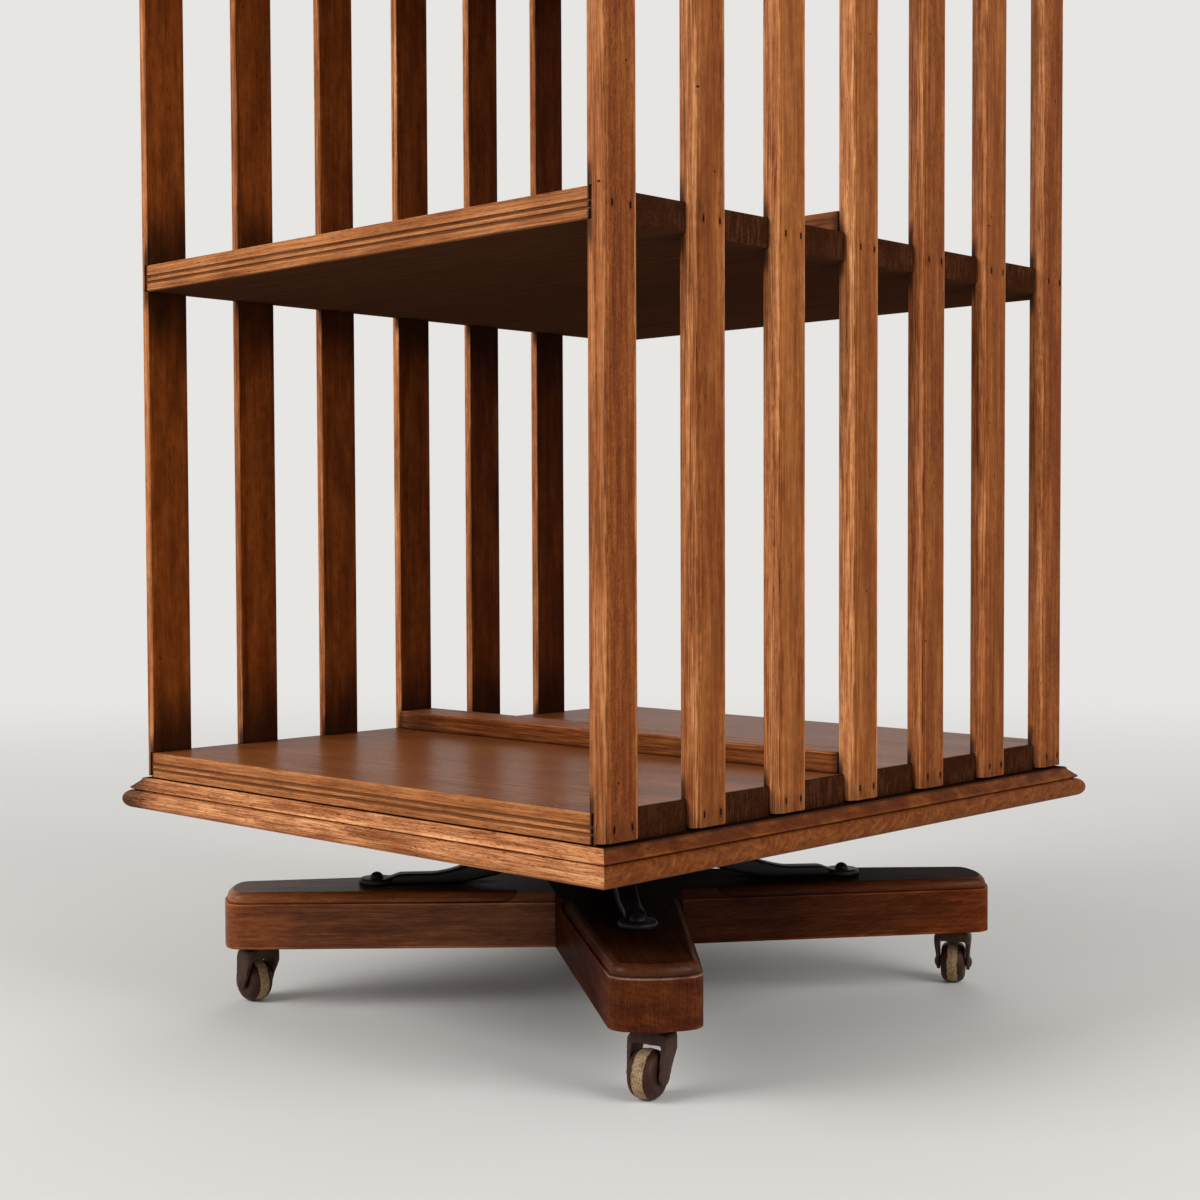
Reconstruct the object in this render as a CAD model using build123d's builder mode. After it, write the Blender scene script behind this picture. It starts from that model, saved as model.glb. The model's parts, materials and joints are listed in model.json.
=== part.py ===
"""Two-tier revolving bookcase of oak on a cast-iron spider and a castored cross.

Millimetres, +Z up. The origin is on the floor, on the axis that the case turns about.
X runs from slatted side to slatted side, Y from open face to open face.
"""
import os

from build123d import *

os.makedirs("parts", exist_ok=True)

# Case
case_width = 421.0            # over the outer faces of the slats, along X
case_depth = 457.0            # over the open edges of the shelves, along Y
board_thickness = 17.0        # both shelves and the head board
lower_tier_height = 303.5     # clear height for books
upper_tier_height = 280.0

# Moulded edge that the plinth and the top share, from its narrow face to its wide one
edge_overhang = 11.0          # how far the nose stands past slats and shelf edges
arris_overhang = 1.9          # the same for the narrow face's rounded arris
arris_radius = 1.8
bevel_run = 4.7
bevel_drop = 4.0
band_step = 0.5               # narrow upright band between bevel and quirk
band_height = 1.3
quirk_drop = 0.9
nose_radius = 6.0

# Reeded open edges of the shelves
reed_drop = 0.8               # middle of the two grooves, below the middle of the edge
reed_spacing = 3.8
reed_groove_radius = 1.0
shelf_arris = 0.8
tongue_gap = 2.2              # corners of the boards are cut back inside the slats' notches
tongue_setback = 1.2

# Slats
slats_per_side = 7
slat_width = 29.8
slat_thickness = 10.2
slat_housing = 3.9            # notch over the end of each board
slat_end_gap = 1.5            # slat ends stop short of plinth and top
slat_bead_radius = 4.0
slat_arris_slope = 1.3
slat_inner_arris = 0.6
housing_clearance = 0.1

# Cut brads that hold the slats, two at each board
brad_width = 1.6
brad_height = 3.2
brad_length = 20.0
brad_punch_depth = 0.8        # heads are punched below the face
brad_spacing = 13.7
brad_hole_spare = 0.5         # hole runs on past the point

# Book stops between the middle slats
stop_width = 33.0
stop_height = 12.8
stop_arris = 1.0
stop_end_clearance = 0.1

# Cross of two halved rails
rail_reach = 258.0            # centre to the middle of each end
rail_end_width = 52.0
rail_middle_width = 88.0      # the sides widen evenly towards the crossing
rail_thickness = 36.5
rail_end_rise = 6.0           # arch of the end, over its width
rail_corner_radius = 13.0
rail_heading = -41.0          # of the upper rail, from +X
halving_clearance = 0.1
ovolo_height = 7.2            # stopped moulding round the top edge
ovolo_ledge = 1.5
ovolo_radius = 5.5
ovolo_stop = 66.0             # from the centre to where the moulding dies out
ovolo_run_out = 14.0

# Height of the case above the cross
turning_gap = 53.0

# Spider: cast hub with four swan-neck arms
bolt_reach = 158.0            # from the axis to each bolt
pad_radius = 12.0
pad_thickness = 4.5
pad_edge_radius = 1.5
arm_width = 13.0
arm_plateau_height = 7.2
arm_plateau_length = 19.0
arm_dip_length = 11.0         # from plateau down to pad
arm_heel = 14.0               # inside the plateau's end, where the arm leaves the wood
arm_web = 22.0                # depth of the arm where it meets the hub
arm_chamfer = 1.0
neck_fullness = 0.7           # how long the S-curve of the neck keeps its level ends
hub_radius = 23.0
hub_lift = 7.0                # hub's foot above the cross
hub_edge_radius = 4.0
hub_waist = 3.0               # draw-in of the hub between foot and seat

# Bolts that hold the spider down
bolt_head_radius = 4.7
bolt_head_height = 3.8
bolt_shank_radius = 3.0
bolt_length = 32.0

# Pillar, pin and bearings
pillar_radius = 9.5
pillar_foot_lift = 5.0        # pillar's foot above the hub's foot
pillar_crown = 2.5
fixed_clearance = 0.02
running_clearance = 0.06
board_hole_clearance = 1.5
pin_radius = 2.5
pin_stand_out = 1.5
pin_height_in_hub = 16.0
washer_inset = 0.5            # washer's rim inside the rim of the hub's seat
washer_thickness = 2.5
face_clearance = 0.3          # between faces that turn on each other
flange_radius = 42.0
flange_thickness = 4.0
boss_radius = 16.0
boss_end_gap = 2.0            # bosses end below the far face of their boards
cup_radius = 34.0
cup_thickness = 3.0
cup_roof = 3.0
seat_clearance = 0.1
rim_chamfer = 1.2

# Countersunk wood screws
plate_screw_radius = 2.2
plate_screw_head_radius = 4.2
plate_screw_length = 15.0
plate_screw_inset = 9.0       # screw circle inside the rim of flange or cup
board_screw_radius = 2.5
board_screw_head_radius = 5.0
board_screw_length = 30.0
board_screw_columns = 2
board_screw_rows = 3
board_screw_spacing_x = 300.0
board_screw_spacing_y = 170.0
screw_clearance = 0.1

# Castors
castor_inset = 22.0           # stem inside the end of its rail
castor_trail = 7.0
castor_headings = [-75.5, 119.0, 60.0, 175.0]   # front, right, rear and left arm
castor_plate_radius = 12.5
castor_plate_thickness = 3.5
castor_screw_radius = 4.0
castor_screw_length = 26.0
swivel_gap = 0.4
pivot_radius = 3.2
pivot_rivet_radius = 4.5
pivot_rivet_height = 1.2
horn_thickness = 3.5          # of each cheek at the bridge
horn_foot_thickness = 2.3     # of each cheek at the axle
cheek_gap = 0.9               # between cheek and wheel
crotch_gap = 1.1              # between pivot rivet and wheel
horn_bridge = 6.5
horn_bridge_half_length = 7.5
horn_plan_radius = 4.0
horn_corner_radius = 5.0
horn_crotch_radius = 1.5
horn_lobe_radius = 5.4
wheel_radius = 14.0
wheel_width = 16.0
wheel_tread = 6.0
wheel_face_radius = 9.0       # flat round the axle
wheel_shoulder_drop = 1.7     # round shoulder, inside the tread and inside the face
tread_crown = 0.4
axle_radius = 2.5
axle_head_radius = 4.0
axle_head_height = 1.6
axle_wheel_clearance = 0.08

# Castor sizes that follow from the wheel, and its plan position
rivet_bottom = 2 * wheel_radius + crotch_gap
rivet_top = rivet_bottom + pivot_rivet_height
bridge_bottom = rivet_top + face_clearance
bridge_top = bridge_bottom + horn_bridge
plate_bottom = bridge_top + swivel_gap
horn_inner_width = wheel_width + 2 * cheek_gap
horn_width = horn_inner_width + 2 * horn_thickness
horn_foot_width = horn_inner_width + 2 * horn_foot_thickness
castor_circle_radius = rail_reach - castor_inset

# Heights worked out from the floor up
rail_bottom = plate_bottom + castor_plate_thickness
rail_top = rail_bottom + rail_thickness
edge_thickness = arris_radius + bevel_drop + band_height + quirk_drop + 2 * nose_radius
plinth_bottom = rail_top + turning_gap
plinth_top = plinth_bottom + edge_thickness
lower_floor = plinth_top + board_thickness
middle_bottom = lower_floor + lower_tier_height
upper_floor = middle_bottom + board_thickness
head_bottom = upper_floor + upper_tier_height
head_top = head_bottom + board_thickness
case_top = head_top + edge_thickness
board_bottoms = [plinth_top, middle_bottom, head_bottom]

# Plan positions shared by boards and slats
slat_outer_x = case_width / 2
slat_inner_x = slat_outer_x - slat_thickness
board_half_x = slat_inner_x + slat_housing
board_half_y = case_depth / 2
slat_pitch = (case_depth - slat_width) / (slats_per_side - 1)
brad_head_x = slat_outer_x - brad_punch_depth
brad_tip_x = brad_head_x - brad_length

# Bearing heights
flange_bottom = plinth_bottom - flange_thickness
hub_bottom = rail_top + hub_lift
hub_top = flange_bottom - face_clearance - washer_thickness
boss_top = plinth_top - boss_end_gap
cup_bottom = head_bottom - cup_thickness
cup_top = head_top - boss_end_gap
pillar_foot = hub_bottom + pillar_foot_lift
pillar_top = cup_top - cup_roof - face_clearance


def keep(piece, label):
    """Label a finished piece and write it."""
    piece.label = label
    export_step(piece, f"parts/{label}.step")


def round_hole(radius, low, high):
    """Cut an upright hole in the part being built, at the locations in force."""
    with BuildSketch(Plane.XY.offset(low)) as outline:
        Circle(radius)
    extrude(outline.sketch, amount=high - low, mode=Mode.SUBTRACT)


# Boards with the moulded edge

def edge_profile(half_size):
    """Half section of a moulded board, wide face down, the board's middle at the left."""
    bevel_end = half_size + arris_overhang + bevel_run
    nose_middle = half_size + edge_overhang - nose_radius
    top_flat = half_size + arris_overhang - arris_radius
    bevel_top = edge_thickness - arris_radius
    nose_top = 2 * nose_radius
    band_edge = bevel_end + band_step
    band_foot = nose_top + quirk_drop
    band_top = band_foot + band_height
    with BuildLine() as outline:
        Line((0, 0), (nose_middle, 0))
        ThreePointArc((nose_middle, 0), (nose_middle + nose_radius, nose_radius), (nose_middle, nose_top))
        Polyline((nose_middle, nose_top), (band_edge, band_foot), (band_edge, band_top),
                 (bevel_end, band_top), (half_size + arris_overhang, bevel_top))
        RadiusArc((half_size + arris_overhang, bevel_top), (top_flat, edge_thickness), -arris_radius)
        Line((top_flat, edge_thickness), (0, edge_thickness))
        Line((0, edge_thickness), (0, 0))
    return outline.line


with BuildPart() as moulded_blank:
    with BuildSketch(Plane.XZ):
        add(edge_profile(slat_outer_x))
        make_face()
        mirror(about=Plane.YZ)
    extrude(amount=case_depth, both=True)
    with BuildSketch(Plane.YZ):
        add(edge_profile(board_half_y))
        make_face()
        mirror(about=Plane.YZ)
    extrude(amount=case_width, both=True, mode=Mode.INTERSECT)


def board_screw_places():
    """Places of the screws that join two boards."""
    return GridLocations(board_screw_spacing_x, board_screw_spacing_y,
                         board_screw_columns, board_screw_rows)


def countersunk_holes(low, high):
    """Cut the clearance holes of the board screws, countersunk from below."""
    with BuildSketch(Plane.XY.offset(low)) as shanks:
        with board_screw_places():
            Circle(board_screw_radius + screw_clearance)
    extrude(shanks.sketch, amount=high - low, mode=Mode.SUBTRACT)
    with BuildSketch(Plane.XY.offset(low)) as heads:
        with board_screw_places():
            Circle(board_screw_head_radius + screw_clearance)
    extrude(heads.sketch, amount=board_screw_head_radius - board_screw_radius, taper=45, mode=Mode.SUBTRACT)


def pilot_holes(low, high):
    """Cut the blind pilot holes of the board screws."""
    with BuildSketch(Plane.XY.offset(low)) as pilots:
        with board_screw_places():
            Circle(board_screw_radius + screw_clearance)
    extrude(pilots.sketch, amount=high - low, mode=Mode.SUBTRACT)


def plate_screw_places(rim_radius):
    """Places of the four screws of a round plate."""
    return PolarLocations(rim_radius - plate_screw_inset, 4, start_angle=45)


board_screw_reach = board_screw_length - edge_thickness + screw_clearance
top_screw_reach = board_screw_length - board_thickness + screw_clearance
flange_screw_reach = plate_screw_length - flange_thickness + screw_clearance
cup_screw_reach = plate_screw_length - cup_thickness + screw_clearance

with BuildPart() as plinth_board:
    with Locations((0, 0, plinth_bottom)):
        add(moulded_blank.part)
    round_hole(boss_radius + seat_clearance, plinth_bottom, plinth_top)
    countersunk_holes(plinth_bottom, plinth_top)
    with BuildSketch(Plane.XY.offset(plinth_bottom)):
        with plate_screw_places(flange_radius):
            Circle(plate_screw_radius + screw_clearance)
    extrude(amount=flange_screw_reach, mode=Mode.SUBTRACT)
keep(plinth_board.part, "plinth_board")

with BuildPart() as top_board:
    with Locations(Location((0, 0, case_top), (180, 0, 0))):
        add(moulded_blank.part)
    pilot_holes(head_top, head_top + top_screw_reach)
keep(top_board.part, "top_board")


# Shelves and head board

def brad_pair():
    """Outlines of the two brads of one slat at one board, on the plane in force."""
    with GridLocations(brad_spacing, 0, 2, 1):
        Rectangle(brad_width, brad_height)


def brad_outlines(middle):
    """Brad outlines of one slatted side, at one board's mid height."""
    with Locations((0, middle)):
        with GridLocations(slat_pitch, 0, slats_per_side, 1):
            brad_pair()


def make_board(bottom):
    """A shelf with reeded open edges, brad holes in its ends and the pillar's hole."""
    middle = bottom + board_thickness / 2
    with BuildPart() as board:
        with BuildSketch(Plane.YZ):
            with Locations((0, middle)):
                Rectangle(2 * board_half_y, board_thickness)
                chamfer(vertices(), shelf_arris)
            with Locations((0, middle - reed_drop)):
                with GridLocations(2 * board_half_y, reed_spacing, 2, 2):
                    Circle(reed_groove_radius, mode=Mode.SUBTRACT)
        extrude(amount=board_half_x, both=True)
        with BuildSketch(Plane.XY.offset(bottom)):
            with GridLocations(2 * board_half_x, 2 * board_half_y, 2, 2):
                Rectangle(2 * tongue_gap, 2 * tongue_setback)
        extrude(amount=board_thickness, mode=Mode.SUBTRACT)
        with BuildSketch(Plane.YZ.offset(brad_tip_x - brad_hole_spare)):
            brad_outlines(middle)
        extrude(amount=brad_length, mode=Mode.SUBTRACT)
        with BuildSketch(Plane.YZ.offset(brad_hole_spare - brad_tip_x)):
            brad_outlines(middle)
        extrude(amount=-brad_length, mode=Mode.SUBTRACT)
    return board.part


lower_blank = make_board(plinth_top)
middle_blank = make_board(middle_bottom)
head_blank = make_board(head_bottom)

with BuildPart() as bottom_shelf:
    add(lower_blank)
    round_hole(pillar_radius + board_hole_clearance, plinth_top, lower_floor)
    pilot_holes(plinth_top, plinth_top + board_screw_reach)
keep(bottom_shelf.part, "bottom_shelf")

with BuildPart() as middle_shelf:
    add(middle_blank)
    round_hole(pillar_radius + board_hole_clearance, middle_bottom, upper_floor)
keep(middle_shelf.part, "middle_shelf")

with BuildPart() as head_board:
    add(head_blank)
    round_hole(boss_radius + seat_clearance, head_bottom, head_top)
    countersunk_holes(head_bottom, head_top)
    with BuildSketch(Plane.XY.offset(head_bottom)):
        with plate_screw_places(cup_radius):
            Circle(plate_screw_radius + screw_clearance)
    extrude(amount=cup_screw_reach, mode=Mode.SUBTRACT)
keep(head_board.part, "head_board")


# Book stops

def make_stop(floor):
    """Low batten from middle slat to middle slat, which keeps books off the pillar."""
    with BuildPart() as stop:
        with BuildSketch(Plane.YZ):
            with Locations((0, floor)):
                Rectangle(stop_width, stop_height, align=(Align.CENTER, Align.MIN))
            chamfer(vertices().group_by(Axis.Y)[-1], stop_arris)
        extrude(amount=slat_inner_x - stop_end_clearance, both=True)
        round_hole(pillar_radius + board_hole_clearance, floor, floor + stop_height)
    return stop.part


keep(make_stop(lower_floor), "lower_book_stop")
keep(make_stop(upper_floor), "upper_book_stop")


# Slats

with BuildPart() as slat_blank:
    bead_foot = slat_outer_x - slat_arris_slope - slat_bead_radius
    bead_top = slat_outer_x - slat_arris_slope
    bead_inner = slat_width / 2 - slat_bead_radius
    face_edge = bead_inner - slat_arris_slope
    with BuildSketch(Plane.XY.offset(plinth_top + slat_end_gap)):
        with BuildLine():
            Polyline((slat_inner_x, 0), (slat_inner_x, slat_width / 2 - slat_inner_arris),
                     (slat_inner_x + slat_inner_arris, slat_width / 2), (bead_foot, slat_width / 2))
            RadiusArc((bead_foot, slat_width / 2), (bead_top, bead_inner), slat_bead_radius)
            Line((bead_top, bead_inner), (slat_outer_x, face_edge))
            Line((slat_outer_x, face_edge), (slat_outer_x, 0))
            Line((slat_outer_x, 0), (slat_inner_x, 0))
        make_face()
        mirror(about=Plane.XZ)
    extrude(amount=head_top - plinth_top - 2 * slat_end_gap)
    with BuildSketch(Plane.XZ):
        for bottom in board_bottoms:
            with Locations((board_half_x, bottom - housing_clearance)):
                Rectangle(slat_thickness, board_thickness + 2 * housing_clearance,
                          align=(Align.MAX, Align.MIN))
    extrude(amount=slat_width, both=True, mode=Mode.SUBTRACT)
    with BuildSketch(Plane.YZ.offset(slat_inner_x)):
        for bottom in board_bottoms:
            with Locations((0, bottom + board_thickness / 2)):
                brad_pair()
    extrude(amount=slat_thickness, mode=Mode.SUBTRACT)

for number in range(slats_per_side):
    place = (number - (slats_per_side - 1) / 2) * slat_pitch
    with BuildPart() as right_slat:
        with Locations((0, place, 0)):
            add(slat_blank.part)
    keep(right_slat.part, f"right_slat_{number + 1}")
    with BuildPart() as left_slat:
        with Locations(Location((0, place, 0), (0, 0, 180))):
            add(slat_blank.part)
    keep(left_slat.part, f"left_slat_{number + 1}")

with BuildPart() as slat_brads:
    with BuildSketch(Plane.YZ.offset(brad_tip_x)):
        for bottom in board_bottoms:
            brad_outlines(bottom + board_thickness / 2)
    extrude(amount=brad_length)
    mirror(about=Plane.YZ)
keep(slat_brads.part, "slat_brads")


# Wood screws

def make_screw(radius, head_radius, length):
    """Countersunk wood screw, head down at height 0."""
    with BuildPart() as screw:
        with BuildSketch(Plane.XZ):
            with BuildLine():
                Polyline((0, 0), (head_radius, 0), (radius, head_radius - radius),
                         (radius, length - radius), (0, length), (0, 0))
            make_face()
        revolve(axis=Axis.Z)
    return screw.part


board_screw = make_screw(board_screw_radius, board_screw_head_radius, board_screw_length)
plate_screw = make_screw(plate_screw_radius, plate_screw_head_radius, plate_screw_length)

with BuildPart() as plinth_screws:
    with Locations((0, 0, plinth_bottom)):
        with board_screw_places():
            add(board_screw)
keep(plinth_screws.part, "plinth_screws")

with BuildPart() as head_screws:
    with Locations((0, 0, head_bottom)):
        with board_screw_places():
            add(board_screw)
keep(head_screws.part, "head_screws")


# Bearings of the case

def flanged_boss(rim_radius, thickness, low, high):
    """Round plate with an upright boss on top and four countersunk holes."""
    sink_depth = plate_screw_head_radius - plate_screw_radius
    with BuildPart() as boss:
        with BuildSketch(Plane.XZ):
            with BuildLine():
                Polyline((0, low), (rim_radius, low), (rim_radius, low + thickness),
                         (boss_radius, low + thickness), (boss_radius, high), (0, high), (0, low))
            make_face()
        revolve(axis=Axis.Z)
        rims = boss.edges().filter_by(GeomType.CIRCLE).group_by(SortBy.RADIUS)[-1]
        chamfer(rims.sort_by(Axis.Z)[0], rim_chamfer)
        with BuildSketch(Plane.XY.offset(low)) as shanks:
            with plate_screw_places(rim_radius):
                Circle(plate_screw_radius + screw_clearance)
        extrude(shanks.sketch, amount=thickness, mode=Mode.SUBTRACT)
        with BuildSketch(Plane.XY.offset(low)) as heads:
            with plate_screw_places(rim_radius):
                Circle(plate_screw_head_radius + screw_clearance)
        extrude(heads.sketch, amount=sink_depth, taper=45, mode=Mode.SUBTRACT)
    return boss.part


flange_blank = flanged_boss(flange_radius, flange_thickness, flange_bottom, boss_top)
cup_blank = flanged_boss(cup_radius, cup_thickness, cup_bottom, cup_top)
bearing_radius = pillar_radius + running_clearance

with BuildPart() as lower_bearing:
    add(flange_blank)
    round_hole(bearing_radius, flange_bottom, boss_top)
keep(lower_bearing.part, "lower_bearing")

with BuildPart() as head_bearing:
    add(cup_blank)
    round_hole(bearing_radius, cup_bottom, pillar_top + face_clearance)
keep(head_bearing.part, "head_bearing")

with BuildPart() as lower_bearing_screws:
    with Locations((0, 0, flange_bottom)):
        with plate_screw_places(flange_radius):
            add(plate_screw)
keep(lower_bearing_screws.part, "lower_bearing_screws")

with BuildPart() as head_bearing_screws:
    with Locations((0, 0, cup_bottom)):
        with plate_screw_places(cup_radius):
            add(plate_screw)
keep(head_bearing_screws.part, "head_bearing_screws")


# Pillar, its pin and the thrust washer

pin_height = hub_bottom + pin_height_in_hub
pin_length = 2 * (hub_radius + pin_stand_out)
pin_place = Location((0, 0, pin_height), (0, 90, rail_heading + 45))
seat_radius = hub_radius - hub_edge_radius

with BuildPart() as pillar:
    with BuildSketch(Plane.XY.offset(pillar_foot)):
        Circle(pillar_radius)
    extrude(amount=pillar_top - pillar_foot)
    fillet(pillar.edges().filter_by(GeomType.CIRCLE).sort_by(Axis.Z)[-1], pillar_crown)
    with Locations(pin_place):
        Cylinder(pin_radius + fixed_clearance, pin_length, mode=Mode.SUBTRACT)
keep(pillar.part, "pillar")

with BuildPart() as pillar_pin:
    with Locations(pin_place):
        Cylinder(pin_radius, pin_length)
keep(pillar_pin.part, "pillar_pin")

with BuildPart() as thrust_washer:
    with BuildSketch(Plane.XY.offset(hub_top)):
        Circle(seat_radius - washer_inset)
        Circle(pillar_radius + face_clearance, mode=Mode.SUBTRACT)
    extrude(amount=washer_thickness)
keep(thrust_washer.part, "thrust_washer")


# Spider

plateau = rail_top + arm_plateau_height
pad_top = rail_top + pad_thickness
arm_root = hub_radius / 2
arm_shoulder = hub_top - hub_edge_radius
dip_end = bolt_reach - pad_radius / 2
plateau_outer = dip_end - arm_dip_length
plateau_inner = plateau_outer - arm_plateau_length
arch_start = plateau_inner - arm_heel

with BuildPart() as swan_neck_arm:
    with BuildSketch(Plane.XZ):
        with BuildLine():
            neck = Spline((arm_root, arm_shoulder), (plateau_inner, plateau),
                          tangents=((1, 0), (1, 0)), tangent_scalars=(neck_fullness, neck_fullness))
            level = Line(neck @ 1, (plateau_outer, plateau))
            dip = Spline(level @ 1, (dip_end, pad_top), tangents=((1, 0), (1, 0)))
            Polyline(dip @ 1, (bolt_reach, pad_top), (bolt_reach, rail_top),
                     (arch_start, rail_top))
            arch = Spline((arch_start, rail_top), (arm_root, arm_shoulder - arm_web),
                          tangents=((-1, 0), (-1, 0)), tangent_scalars=(neck_fullness, neck_fullness))
            Line(arch @ 1, neck @ 0)
        make_face()
    extrude(amount=arm_width / 2, both=True)
    neck_edges = [edge for edge in swan_neck_arm.edges()
                  if edge.geom_type == GeomType.BSPLINE and edge.center().Z > plateau]
    chamfer(neck_edges, arm_chamfer)

with BuildPart() as pad:
    with BuildSketch(Plane.XZ):
        with BuildLine():
            rim = RadiusArc((pad_radius, pad_top - pad_edge_radius), (pad_radius - pad_edge_radius, pad_top),
                            -pad_edge_radius)
            Polyline(rim @ 1, (0, pad_top), (0, rail_top), (pad_radius, rail_top), rim @ 0)
        make_face()
    revolve(axis=Axis.Z)

with BuildPart() as spider:
    with BuildSketch(Plane.XZ):
        with BuildLine():
            foot_rim = (seat_radius, hub_bottom)
            seat_rim = (seat_radius, hub_top)
            waist = (hub_radius - hub_waist, (hub_bottom + hub_top) / 2)
            Line((0, hub_bottom), foot_rim)
            foot_round = RadiusArc(foot_rim, (hub_radius, hub_bottom + hub_edge_radius), -hub_edge_radius)
            drawn_in = ThreePointArc(foot_round @ 1, waist, (hub_radius, hub_top - hub_edge_radius))
            RadiusArc(drawn_in @ 1, seat_rim, -hub_edge_radius)
            Polyline(seat_rim, (0, hub_top), (0, hub_bottom))
        make_face()
    revolve(axis=Axis.Z)
    with PolarLocations(0, 4, start_angle=rail_heading):
        add(swan_neck_arm.part)
    with PolarLocations(bolt_reach, 4, start_angle=rail_heading):
        add(pad.part)
    with BuildSketch(Plane.XY.offset(rail_top)):
        with PolarLocations(bolt_reach, 4, start_angle=rail_heading):
            Circle(bolt_shank_radius + screw_clearance)
    extrude(amount=arm_plateau_height, mode=Mode.SUBTRACT)
    round_hole(pillar_radius + fixed_clearance, hub_bottom, hub_top)
    with Locations(pin_place):
        Cylinder(pin_radius + fixed_clearance, pin_length, mode=Mode.SUBTRACT)
keep(spider.part, "spider")

with BuildPart() as bolt:
    with BuildSketch(Plane.XZ):
        with BuildLine():
            dome = TangentArc((0, pad_top + bolt_head_height), (bolt_head_radius, pad_top), tangent=(1, 0))
            Polyline(dome @ 1, (bolt_shank_radius, pad_top), (bolt_shank_radius, pad_top - bolt_length),
                     (0, pad_top - bolt_length), dome @ 0)
        make_face()
    revolve(axis=Axis.Z)

with BuildPart() as spider_bolts:
    with PolarLocations(bolt_reach, 4, start_angle=rail_heading):
        add(bolt.part)
keep(spider_bolts.part, "spider_bolts")


# Cross

def rail_outline(inset):
    """Plan of a rail along X: sides that taper outwards, arched ends, rounded corners."""
    tip = rail_reach - inset
    end = rail_end_width / 2 - inset
    middle = rail_middle_width / 2 - inset
    spring = tip - rail_end_rise
    with BuildSketch(Plane.XY) as plan:
        with BuildLine():
            Polyline((-spring, end), (0, middle), (spring, end))
            ThreePointArc((spring, end), (tip, 0), (spring, -end))
            Polyline((spring, -end), (0, -middle), (-spring, -end))
            ThreePointArc((-spring, -end), (-tip, 0), (-spring, end))
        make_face()
        columns = plan.vertices().group_by(Axis.X)
        fillet(columns[0] + columns[-1], rail_corner_radius - inset)
    return plan.sketch


ovolo_foot = rail_top - ovolo_height

with BuildPart() as moulded_crest:
    with BuildSketch(Plane.XY.offset(ovolo_foot)):
        add(rail_outline(ovolo_ledge))
    extrude(amount=ovolo_height)
    fillet(moulded_crest.edges().group_by(Axis.Z)[-1], ovolo_radius)

with BuildPart() as moulding_waste:
    run_out_end = ovolo_stop + ovolo_run_out
    waste_top = rail_top + ovolo_height
    waste_end = rail_reach + rail_end_width
    with BuildSketch(Plane.XZ):
        with BuildLine():
            EllipticalCenterArc((run_out_end, rail_top), ovolo_run_out, ovolo_height,
                                start_angle=180, arc_size=90)
            Polyline((run_out_end, ovolo_foot), (waste_end, ovolo_foot), (waste_end, waste_top),
                     (ovolo_stop, waste_top), (ovolo_stop, rail_top))
        make_face()
    extrude(amount=rail_middle_width, both=True)
    add(moulded_crest.part, mode=Mode.SUBTRACT)
    mirror(about=Plane.YZ)


def make_rail(notch_bottom, notch_top):
    """A rail of the cross along X, notched between two heights for the other rail."""
    with BuildPart() as rail:
        with BuildSketch(Plane.XY.offset(rail_bottom)):
            add(rail_outline(0))
        extrude(amount=rail_thickness)
        add(moulding_waste.part, mode=Mode.SUBTRACT)
        with BuildSketch(Plane.XY.offset(notch_bottom)):
            add(rail_outline(-halving_clearance), rotation=90)
        extrude(amount=notch_top - notch_bottom, mode=Mode.SUBTRACT)
        with BuildSketch(Plane.XY.offset(rail_bottom)):
            with PolarLocations(castor_circle_radius, 2):
                Circle(castor_screw_radius + screw_clearance)
        extrude(amount=castor_screw_length + screw_clearance, mode=Mode.SUBTRACT)
        with BuildSketch(Plane.XY.offset(rail_top)):
            with PolarLocations(bolt_reach, 2):
                Circle(bolt_shank_radius + screw_clearance)
        extrude(amount=pad_thickness - bolt_length - screw_clearance, mode=Mode.SUBTRACT)
    return rail.part


halving_height = rail_bottom + rail_thickness / 2
upper_blank = make_rail(rail_bottom, halving_height)
under_blank = make_rail(halving_height, rail_top)

with BuildPart() as cross_rail_upper:
    with Locations(Location((0, 0, 0), (0, 0, rail_heading))):
        add(upper_blank)
keep(cross_rail_upper.part, "cross_rail_upper")

with BuildPart() as cross_rail_lower:
    with Locations(Location((0, 0, 0), (0, 0, rail_heading + 90))):
        add(under_blank)
keep(cross_rail_lower.part, "cross_rail_lower")


# Castors, each modelled with its stem on the Z axis and its wheel trailing along +X

castor_screw_top = rail_bottom + castor_screw_length
wheel_centre = (castor_trail, 0, wheel_radius)
axle_axis = Axis(wheel_centre, (0, 1, 0))

with BuildPart() as plate_blank:
    with BuildSketch(Plane.XZ):
        with BuildLine():
            Polyline((0, rivet_bottom), (pivot_rivet_radius, rivet_bottom), (pivot_rivet_radius, rivet_top),
                     (pivot_radius, rivet_top), (pivot_radius, plate_bottom),
                     (castor_plate_radius, plate_bottom), (castor_plate_radius, rail_bottom),
                     (castor_screw_radius, rail_bottom), (castor_screw_radius, castor_screw_top),
                     (0, castor_screw_top), (0, rivet_bottom))
        make_face()
    revolve(axis=Axis.Z)

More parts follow.
